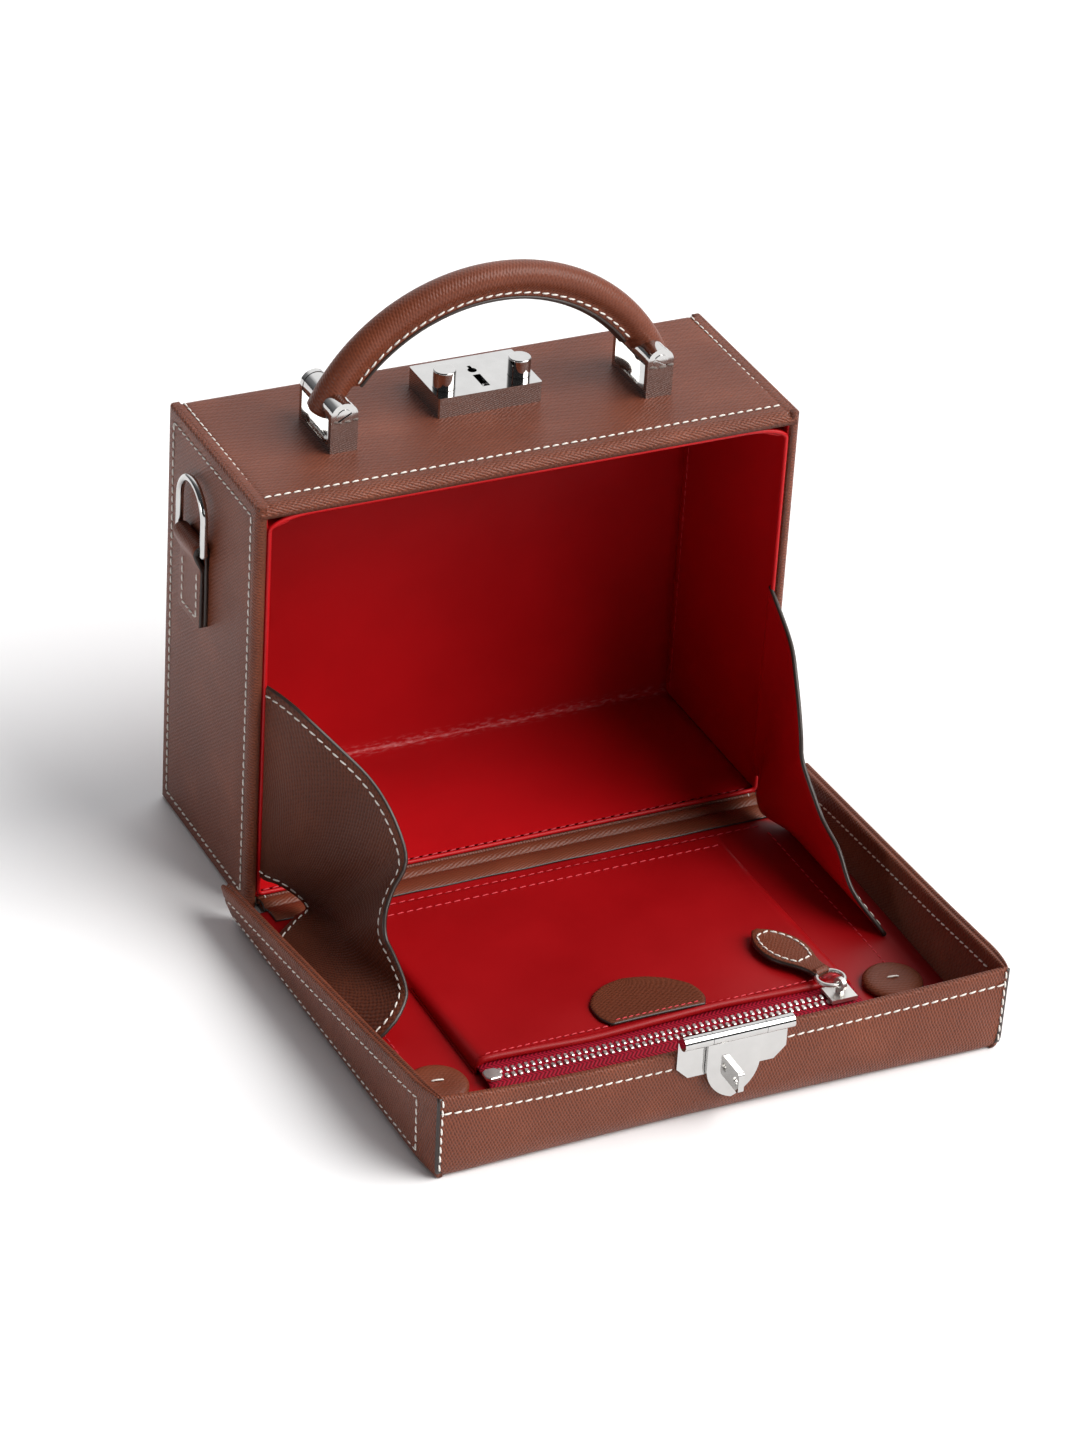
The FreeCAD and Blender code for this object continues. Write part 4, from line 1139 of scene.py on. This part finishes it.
def strap_tabs():
    """A folded strap on each side, sewn below its D-ring."""
    foot_step, neck_drop, inner_drop = 1.0, 8.0, 2.0
    for side, name in both_sides:
        low, high = span("tab_" + name)
        ring_z = joints["ring_" + name + "_swing"]["pos_m"][2] / MM
        path = [(tab_outer, z) for z in [low.z] + steps(low.z + foot_step, ring_z - neck_drop, 5)]
        path += [(out, ring_z + z) for out, z in tab_neck]
        path += arc((tab_eye_out, ring_z), tab_eye_radius, -30, 180, 12)
        path += [(tab_inner, z) for z in steps(ring_z - inner_drop, low.z, 8)]
        outline = ribbon(path, tab_thickness)
        rings = [[(side * (half_width + out), y, z) for out, z in outline] for y in steps(low.y, high.y, 10)]
        tab = ring_piece("tab_strap_" + name, pinched(rings, 0.35), leather_soft, edge_paint)
        rides(tab, "case", "brown_leather", "tab_" + name)
        near_y, far_y, low_z = low.y + tab_stitch, high.y - tab_stitch, low.z + tab_stitch
        high_z = ring_z - tab_stitch_top
        corners = ((near_y, high_z), (near_y, low_z), (far_y, low_z), (far_y, high_z))
        x = side * (half_width + tab_face)
        cornered_seam("case", [(x, y, z) for y, z in corners], side * rightward)


def handle_frame():
    """The arch of the handle: its centre height, radius, half angle, middle line and half depth."""
    pin_low, pin_high = span("handle_fitting_right")
    cover_low, cover_high = span("handle_cover")
    half = (cover_high.y - cover_low.y) / 2
    pin_x = (pin_low.x + pin_high.x) / 2
    pin_z = (pin_low.z + pin_high.z) / 2
    rise = cover_high.z - half - pin_z
    radius = (pin_x ** 2 + rise ** 2) / (2 * rise)
    return pin_z + rise - radius, radius, math.asin(pin_x / radius), (pin_low.y + pin_high.y) / 2, half


def grip_turned(y, z):
    """A point of the grip's cross-section, turned a little to the front."""
    across, down = math.cos(grip_turn), math.sin(grip_turn)
    return y * across + z * down, z * across - y * down


def grip_outline(seam_share):
    """Cross-section of the grip: an oval with a sewn flange at its foot, closer points near the flange."""
    outline = []
    angles = list(range(-86, 266, 8)) + [k * 2.5 - 90 for k in range(-11, 12)]
    for a in sorted(set((angle + 360) % 360 for angle in angles)):
        y = grip_half_depth * math.cos(math.radians(a))
        z = grip_half_height * math.sin(math.radians(a))
        if z < 0:
            z -= flange_drop * seam_share * math.exp(-((y / flange_half) ** 4))
        outline.append(grip_turned(y, z))
    return outline


def handle():
    """A padded leather grip closed by a sewn flange underneath."""
    centre_z, radius, half_angle, middle_y, half = handle_frame()
    lift = half - grip_half_height
    grip_angle = half_angle + grip_overrun / radius
    flange_angle = half_angle - flange_setback / radius
    flange_ease, edge_ease = 0.03, 0.02

    def at(angle, y, z):
        """A point of the cross-section: y across, z away from the arch's middle line."""
        reach = radius + lift + z
        return Vector((reach * math.sin(angle), middle_y + y, centre_z + reach * math.cos(angle)))

    rings = []
    for angle in steps(-grip_angle, grip_angle, 90):
        seam_share = smooth((flange_angle - abs(angle)) / flange_ease)
        rings.append([at(angle, y, z) for y, z in grip_outline(seam_share)])
    grip = ring_piece("handle_grip", pinched(rings, 1.4), leather_soft)
    rides(grip, "case", "brown_leather", "handle_cover")
    angles = steps(edge_ease - flange_angle, flange_angle - edge_ease, 70)
    foot = -grip_half_height - flange_drop
    rings = [[at(a, *grip_turned(y, foot + z)) for y, z in painted_edge] for a in angles]
    rides(ring_piece("handle_edge", pinched(rings, 0.3), edge_paint), "case", "brown_leather")
    for side in (-1, 1):
        line, out = [[at(a, *grip_turned(side * (flange_half + y), z - grip_half_height)) for a in angles]
                     for y, z in (flange_thread, flange_outward)]
        seam("case", line, [(b - a).normalized() for a, b in zip(line, out)])


# Lid

def lid_share(y):
    """0 at the lid's front and 1 at the hinge."""
    return (y - lid_panel_y) / (hinge_y - lid_panel_y)


def lid_rim_z(y):
    """Rim of a side wall, which stands up a little towards its front corner."""
    rise = lid_corner_rise * (1 - smooth((y - lid_panel_y) / lid_rise_reach))
    return mix(lid_corner_z - lid_corner_rise, lid_hinge_end_z, lid_share(y)) + rise


def front_rim_z(x):
    """Rim of the front wall: it dips between the corners and stands up again behind the hasp."""
    dip = lid_front_dip[-1 if x < 0 else 1] * (1 - abs(x / lid_half) ** 3)
    return lid_corner_z - dip * smooth((abs(x) - hasp_backing_half) / hasp_backing_ease)


def lid_face_x(y, z):
    """Outer face of a side wall, at a place along it and up it; it turns in at the front corner."""
    base = lid_half + lid_base_flare * lid_share(y)
    lean = mix(lid_lean_front, lid_lean_hinge, lid_share(y)) * z / lid_rim_z(y)
    return base - corner_turn(lid_corner_turn, y - lid_panel_y) + lean


def corner_turn(most, distance):
    """How far a wall's outer face turns in, at a distance from the front corner."""
    return eased(most, distance, lid_corner_length)


def narrowed(depth, turned):
    """Depth in a wall whose inner face stays straight where its outer face turns in."""
    return depth * (1 - turned / lid_wall_inner)


def wall_profile(rim, tuck=0.0, inner_drop=0.0):
    """Outline of a lid wall as depth in from its outer face and height: it bows out from a soft
    bottom edge to two rolled edges with a groove between them."""
    outline = [(depth + tuck * share, z) for depth, z, share in wall_foot]
    outline += [wall_swell, (0.0, rim * wall_middle)]
    outline += [(depth, rim + z) for depth, z in wall_outer_rim]
    outline += [(depth, rim + z - inner_drop) for depth, z in wall_inner_rim]
    return outline + list(wall_inner_foot)


def side_ring(side, y):
    turned = corner_turn(lid_corner_turn, y - lid_panel_y)
    outline = wall_profile(lid_rim_z(y))
    return [(side * (lid_face_x(y, z) - narrowed(depth, turned)), y, z) for depth, z in outline]


def corner_ring(side, z):
    """The dark edge of a front corner at one height; it draws in at its foot."""
    tuck = eased(most=2.6, distance=z, reach=4.5)
    face = lid_face_x(lid_panel_y, z)
    return [(side * (face + dx - tuck), lid_panel_y + dy + tuck, z) for dx, dy in corner_edge]


def front_ring(share):
    """The front wall's outline at a share of its half width; its ends draw in at their foot."""
    end_gap = 0.1
    turned = corner_turn(lid_front_turn, lid_half - abs(share) * lid_half)
    tuck = lid_front_tuck * (1 - share * share)
    ring = []
    for depth, z in wall_profile(front_rim_z(share * lid_half), tuck, lid_front_inner_drop):
        reach = lid_face_x(lid_panel_y, z) - end_gap - eased(most=2.4, distance=z, reach=5.0)
        ring.append((share * reach, lid_front_y + turned + narrowed(depth, turned), z))
    return ring


def lid_walls():
    """Two side walls with dark front corners, and the front wall between them."""
    front_gap, hinge_lap, corner_foot, corner_lap = 0.2, 0.1, 0.9, 0.3
    for side, name in both_sides:
        rings = [side_ring(side, y) for y in steps(lid_panel_y + front_gap, hinge_y + hinge_lap, 60)]
        made = ring_piece("lid_wall_" + name, pinched(rings, 0.6), leather_brown)
        rides(made, "lid", "brown_leather", "lid_" + name + "_leather", "lid_" + name + "_board")
        side_wall_stitches(side)
        corner = [corner_ring(side, z) for z in steps(corner_foot, lid_corner_z + corner_lap, 16)]
        rides(ring_piece("lid_corner_edge_" + name, corner, edge_paint), "lid", "brown_leather")
    rings = [front_ring(share) for share in steps(-1.0, 1.0, 80)]
    front = ring_piece("lid_wall_front", pinched(rings, 0.8), leather_brown)
    rides(front, "lid", "brown_leather", "lid_front_leather", "lid_facings", "lid_front_board")
    front_wall_stitches()


def side_wall_stitches(side):
    """Rows under the rim on both faces, along the foot and up beside the front corner."""
    face_depth, foot_depth, foot_tilt, hinge_gap = 0.15, 0.5, 0.2, 3.0
    near = lid_panel_y + lid_corner_stitch
    places = steps(near, hinge_y - hinge_gap, 12)
    rim = [(y, lid_rim_z(y) - rim_thread) for y in places]
    foot = [(y, foot_thread) for y in places]
    upright = [(near, z) for z in steps(foot_thread, lid_rim_z(near) - rim_thread, 4)]
    out = side * rightward
    for line, depth, normal in ((rim, face_depth, out), (rim, lid_wall, -out),
                                (foot, foot_depth, out - foot_tilt * upward), (upright, 0.0, out)):
        flat_seam("lid", [(side * (lid_face_x(y, z) - depth), y, z) for y, z in line], normal)


def front_wall_stitches():
    """A row under the rim on each side of the hasp, and one up each end."""
    edge, row_depth = lid_half - 3.4, 0.2
    low_end, high_end = (0.75, 3.4), (0.4, lid_corner_z + 0.2)
    line = [(x, lid_front_y + row_depth, front_rim_z(x) - foot_thread) for x in steps(-edge, edge, 40)]
    hasp_half = span("hasp_plate")[1].x
    for side, _ in both_sides:
        flat_seam("lid", [p for p in line if side * p[0] > hasp_half], frontward)
    start, end = [(edge, lid_front_y + depth, z) for depth, z in (low_end, high_end)]
    mirrored_seam("lid", start, end, frontward)


def lid_floor():
    """The lid's outer face and the red lining on its floor."""
    thickness, waver, edge_gap = 1.5, 0.12, 0.1
    line_x, line_back, line_front, cross_inset = 93.0, 8.0, 4.0, 3.4
    low, high = span("lid_face_leather")
    face = []
    for y in steps(low.y + lid_face_setback, high.y, 12):
        reach = lid_half - lid_face_inset + lid_base_flare * lid_share(y)
        face.append([(-reach, y, 0.0), (-reach, y, thickness), (reach, y, thickness), (reach, y, 0.0)])
    made = ring_piece("lid_face", pinched(face, 0.5), leather_brown)
    rides(made, "lid", "brown_leather", "lid_face_leather")
    low, high = span("lid_lining")
    grid = []
    for y in steps(lid_floor_end_y, low.y, 60):
        reach = lid_half - lid_wall + lid_base_flare * lid_share(y) - edge_gap
        grid.append([(x, y, lid_floor_z - lining_thickness / 2 + waver * uneven(x * 0.03, y * 0.03, 0.5))
                     for x in steps(-reach, reach, 40)])
    sheet = sheet_piece("lid_lining_sheet", grid, lining_thickness, pocket_red)
    rides(sheet, "lid", "red_leather", "lid_lining")
    start, end = [(line_x, y, lid_floor_z) for y in (high.y - line_back, low.y + line_front)]
    mirrored_seam("lid_red", start, end, upward)
    cross_seam("lid_red", line_x - 1, high.y - cross_inset, lid_floor_z, upward)


def corner_pads():
    """Two stuffed leather discs, each held by one stitch."""
    stitch_half, stitch_start, stitch_end = 2.4, 0.6, -0.4
    low, high = span("corner_pads")
    radius = (high.y - low.y) / 2
    y = (high.y + low.y) / 2
    for name, x in (("left", low.x + radius), ("right", high.x - radius)):
        rings = [circle(Vector((x, y, low.z + z)), rightward, backward, radius * share, 40)
                 for share, z in pad_profile]
        pad = ring_piece("corner_pad_" + name, rings, leather_soft, projected=True)
        rides(pad, "lid", "brown_leather")
        if name == "left":
            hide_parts("corner_pads")
        z = low.z + pad_thread_z
        line = [(x - stitch_half, y + stitch_start, z), (x + stitch_half, y + stitch_end, z)]
        flat_seam("lid", line, upward, pitch=4.8, length=4.6)


# Pocket and zip

def pocket_top(y):
    """Height of the pocket panel's face."""
    return lid_floor_z + pocket_lift + pocket_rise * (pocket_back_y - y)


def pocket_point(x, y, drop, seat):
    """A point of the pocket: rounded down to the floor at its ends, with a ridge along the turned edge,
    and slack and waves in between."""
    face_depth = 0.5
    ridge_height, ridge_place, ridge_width = 0.45, 0.8, 0.75
    slack_depth, slack_ease = 0.5, 12.0
    wave_depth, wave_reach, wave_ease = 0.35, 26.0, 10.0
    sway_depth, sway_reach = 0.7, 10.0
    off = pocket_half - abs(x)
    roll = math.sqrt(max(0.0, 1 - (1 - min(max(off, 0) / pocket_roll, 1)) ** 2))
    z = seat or mix(lid_floor_z + pocket_seat, pocket_top(y) - face_depth, roll)
    behind = y - pocket_edge_y
    ridge = ridge_height * bell(behind - ridge_place, ridge_width)
    slack = slack_depth * uneven(x * 0.035, y * 0.03, 3.1) * smooth(off / slack_ease)
    wave = wave_depth * math.sin(x * 0.075 + 0.6) * smooth(1 - behind / wave_reach) * smooth(off / wave_ease)
    sway = sway_depth * math.sin(x * 0.06) * smooth(1 - behind / sway_reach)
    return x, y + sway, z + ridge + slack + wave - drop


def pocket():
    """A soft red panel that rises to a turned edge along the zip."""
    half = pocket_half
    rows = [(pocket_back_y + behind, 0.0, lid_floor_z + lift) for behind, lift in pocket_back_rows]
    rows += [(y, 0.0, None) for y in steps(pocket_back_y - 0.6, pocket_edge_y + 3.0, 46)]
    rows += [(pocket_edge_y + behind, drop, None) for behind, drop in pocket_turned]
    right = [half - inset for inset in (1.6, 0.5, 0.0, -0.3)]
    xs = [-x for x in right[::-1]] + steps(-half + pocket_roll, half - pocket_roll, 60) + right
    grid = [[pocket_point(x, *row) for x in xs] for row in rows]
    panel = sheet_piece("pocket_sheet", grid, pocket_thickness, pocket_red)
    rides(panel, "lid", "red_leather", "pocket_panel")
    y = pocket_back_y - 6.0
    cross_seam("lid_red", half - 2, y, pocket_top(y) + 0.1, upward)
    y = pocket_edge_y + 2.9
    cross_seam("lid_red", half - 4, y, pocket_top(y) + 0.15, upward, pitch=3.0, length=2.3)


def patch():
    """A bare half-oval leather patch on the pocket."""
    lift, crown, seam_inset, seam_lift, seam_end = 0.75, 0.25, 1.4, 1.5, 4.5
    low, high = span("pocket_patch")
    low_y, high_y = low.y - patch_spread, high.y + patch_spread
    centre_x, half = (low.x + high.x) / 2, (high.x - low.x) / 2
    grid = []
    for t in steps(0.0, 1.0, 22):
        v = math.sin(math.radians(90 * t))
        y = mix(low_y, high_y, v)
        reach = half * follow(patch_outline, v)
        shift = centre_x + patch_lean * v * v
        face = pocket_top(y) + lift
        grid.append([(shift + reach * u, y, face + crown * (1 - u * u)) for u in steps(-1, 1, 30)])
    made = sheet_piece("pocket_patch_sheet", grid, patch_thickness, leather_patch, edge=edge_paint)
    rides(made, "lid", "brown_leather", "pocket_patch")
    y = low_y + seam_inset
    reach = half - seam_end
    line = [(x, y, pocket_top(y) + seam_lift) for x in (centre_x - reach, centre_x + reach)]
    flat_seam("lid_red", line, upward, pitch=2.6, length=2.0)


def zip_parts():
    """The woven tape, a red binding along its front and the chain of teeth."""
    end_length, end_ease, end_drop, waver = 5.0, 4.6, 0.6, 0.18
    binding_place, binding_lift, binding_inset, binding_radius = 8.2, 1.0, 1.5, 1.05
    low, high = span("zip_teeth")
    tooth_z = (low.z + high.z) / 2
    half = pocket_half - tape_inset
    grid = []
    for y, z in tape_rows:
        row = []
        for x in steps(-half, half, 70):
            end = end_drop * smooth((abs(x) - pocket_half + end_length) / end_ease)
            row.append((x, zip_y + y, tooth_z + z - end + waver * uneven(x * 0.12, y * 0.2, 9.0)))
        grid.append(row)
    tape = sheet_piece("zip_tape_sheet", grid, tape_thickness, tape_red)
    rides(tape, "lid", "zip_tape", "zip_tape")
    reach = pocket_half - binding_inset
    binding = [(x, zip_y - binding_place, lid_floor_z + binding_lift) for x in steps(-reach, reach, 40)]
    rides(swept("zip_binding", binding, binding_radius, pocket_red), "lid", "red_leather")
    rides(zip_teeth(low.x, high.x, tooth_z), "lid", "plated_metal", "zip_teeth")


def rounded_block(verts, faces, centre, half, taper=0.25):
    """Adds a small block with chamfered edges to lists of points and faces."""
    faces += tube_faces(len(verts), len(block_levels), len(block_outline))
    for level in block_levels:
        reach = 1 - taper if abs(level) == 1 else 1
        for x, y in block_outline:
            corner = (x * reach, y * reach, level)
            verts.append([place + share * size for place, share, size in zip(centre, corner, half)])


def zip_teeth(start, end, z):
    """The closed chain: teeth from both tapes in turn, and a square stop at the left."""
    verts = []
    faces = []
    for k in range(int((end - start) / tooth_pitch)):
        for side, shift in ((1, 0.0), (-1, tooth_pitch / 2)):
            x = start + k * tooth_pitch + shift + tooth_margin
            rounded_block(verts, faces, (x, zip_y + side * tooth_off, z), tooth_half)
    rounded_block(verts, faces, (start - stop_half[0], zip_y, z + stop_lift), stop_half, taper=0.1)
    chain = piece("zip_chain", verts, faces, [zip_metal])
    chain.data.shade_flat()
    return chain


def zip_pull():
    """A leaf of doubled leather on the slider's ring."""
    tip_lift, leaf_lift, leaf_crown, loop_lift, seam_inset, seam_lift = 1.2, 0.1, 0.25, 0.2, 1.7, 1.45
    pivot = Vector(zip_line) / MM
    axis = Vector(joints["pull_swing"]["axis"])
    level = Vector((-axis.y, axis.x, 0.0))
    tip_z = span("zip_pull")[0].z + tip_lift
    dip = math.asin((pivot.z - tip_z) / pull_length)
    ahead = level * math.cos(dip) - upward * math.sin(dip)
    up = axis.cross(ahead)

    def at(across, along, lift):
        return pivot + axis * across + ahead * along + up * lift

    grid = []
    for v in [0.0, 0.03] + steps(0.06, 0.97, 30) + [1.0]:
        half, along = follow(pull_widths, v), mix(pull_start, pull_length, v)
        grid.append([at(half * u, along, leaf_lift + leaf_crown * (1 - u * u)) for u in steps(-1, 1, 14)])
    leaf = sheet_piece("zip_pull_leaf", grid, pull_thickness, leather_soft, edge=edge_paint)
    rides(leaf, "zip_tag", "brown_leather", "zip_pull")
    rings = [circle(at(u, pull_loop_place, loop_lift), ahead, up, pull_loop_radius, 16)
             for u in steps(-pull_loop_half, pull_loop_half, 8)]
    loop = ring_piece("zip_pull_loop", pinched(rings, 0.4), leather_soft, edge_paint)
    rides(loop, "zip_tag", "brown_leather")
    seam_places = steps(0.27, 0.9, 20)
    rows = [(follow(pull_widths, v) - seam_inset, mix(pull_start, pull_length, v)) for v in seam_places]
    left, right = [[at(side * half, along, seam_lift) for half, along in rows] for side in (-1, 1)]
    flat_seam("zip_tag", left + right[::-1] + left[:1], up, pitch=3.3, length=2.6)


# Threads, floor, light and camera

def threads():
    for group in ("case", "lid", "zip_tag", "case_red", "lid_red"):
        made = make_stitches(group, "thread_" + group, thread_red if group.endswith("_red") else thread)
        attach(made, group.removesuffix("_red"))


def sky(world):
    """A studio sky: bright overhead and behind the case, dim in front of it and low down."""
    tree = world.node_tree
    direction = node(tree, "TexCoord", {}).outputs["Generated"]
    inputs = {0: direction, 1: sky_brightest}
    facing = node(tree, "VectorMath", inputs, operation="DOT_PRODUCT").outputs["Value"]
    tone = ramp(tree, rescaled(tree, facing, low=0.0, high=1.0, start=-1.0), sky_tones)
    feed(tree, tree.nodes["Background"], {0: tone, 1: sky_strength})


def lamp(name, kind, direction, strength):
    """A light turned to shine along a direction, and its own settings."""
    light = bpy.data.lights.new(name, kind)
    light.energy = strength
    made = bpy.data.objects.new(name, light)
    made.rotation_mode = "QUATERNION"
    made.rotation_quaternion = direction.to_track_quat("-Z", "Y")
    bpy.context.scene.collection.objects.link(made)
    return made, light


def studio():
    """A wide white floor, the sky, a soft key light and two dim fills."""
    scene = bpy.context.scene
    corners = [(x * floor_reach, y * floor_reach, 0) for x, y in ((-1, -1), (1, -1), (1, 1), (-1, 1))]
    white, _, _ = shader("floor_white", floor_white, roughness=0.6)
    floor = piece("floor", corners, [(0, 1, 2, 3)], [white], closed=False)
    scene.world = bpy.data.worlds.new("studio")
    scene.world.use_nodes = True
    sky(scene.world)
    _, light = lamp("key", "SUN", Vector(key_direction), key_strength)
    light.angle = math.radians(key_spread)
    light.color = key_colour
    for name, place, size, strength in fills:
        made, light = lamp(name, "AREA", Vector(fill_target) - Vector(place), strength)
        made.location = place
        made.visible_camera = False
        light.shape = "RECTANGLE"
        light.size, light.size_y = size
    scene.view_settings.view_transform = "Standard"
    scene.view_settings.look = "None"


def camera():
    lens = bpy.data.cameras.new("camera")
    lens.sensor_width = camera_sensor
    lens.lens = camera_lens
    made = bpy.data.objects.new("camera", lens)
    ahead = Vector(camera_ahead).normalized()
    right = Vector(camera_right)
    right = (right - ahead * right.dot(ahead)).normalized()
    up = right.cross(ahead)
    turn = Matrix((right, up, -ahead)).transposed().to_4x4()
    made.matrix_world = Matrix.Translation(camera_place) @ turn
    bpy.context.scene.collection.objects.link(made)
    bpy.context.scene.camera = made


keep_frame()
latch_springs()
case_panels()
opening_edges()
lining()
hinge_leathers()
gussets()
strap_tabs()
handle()
lid_walls()
lid_floor()
corner_pads()
pocket()
patch()
zip_parts()
zip_pull()
threads()
studio()
camera()
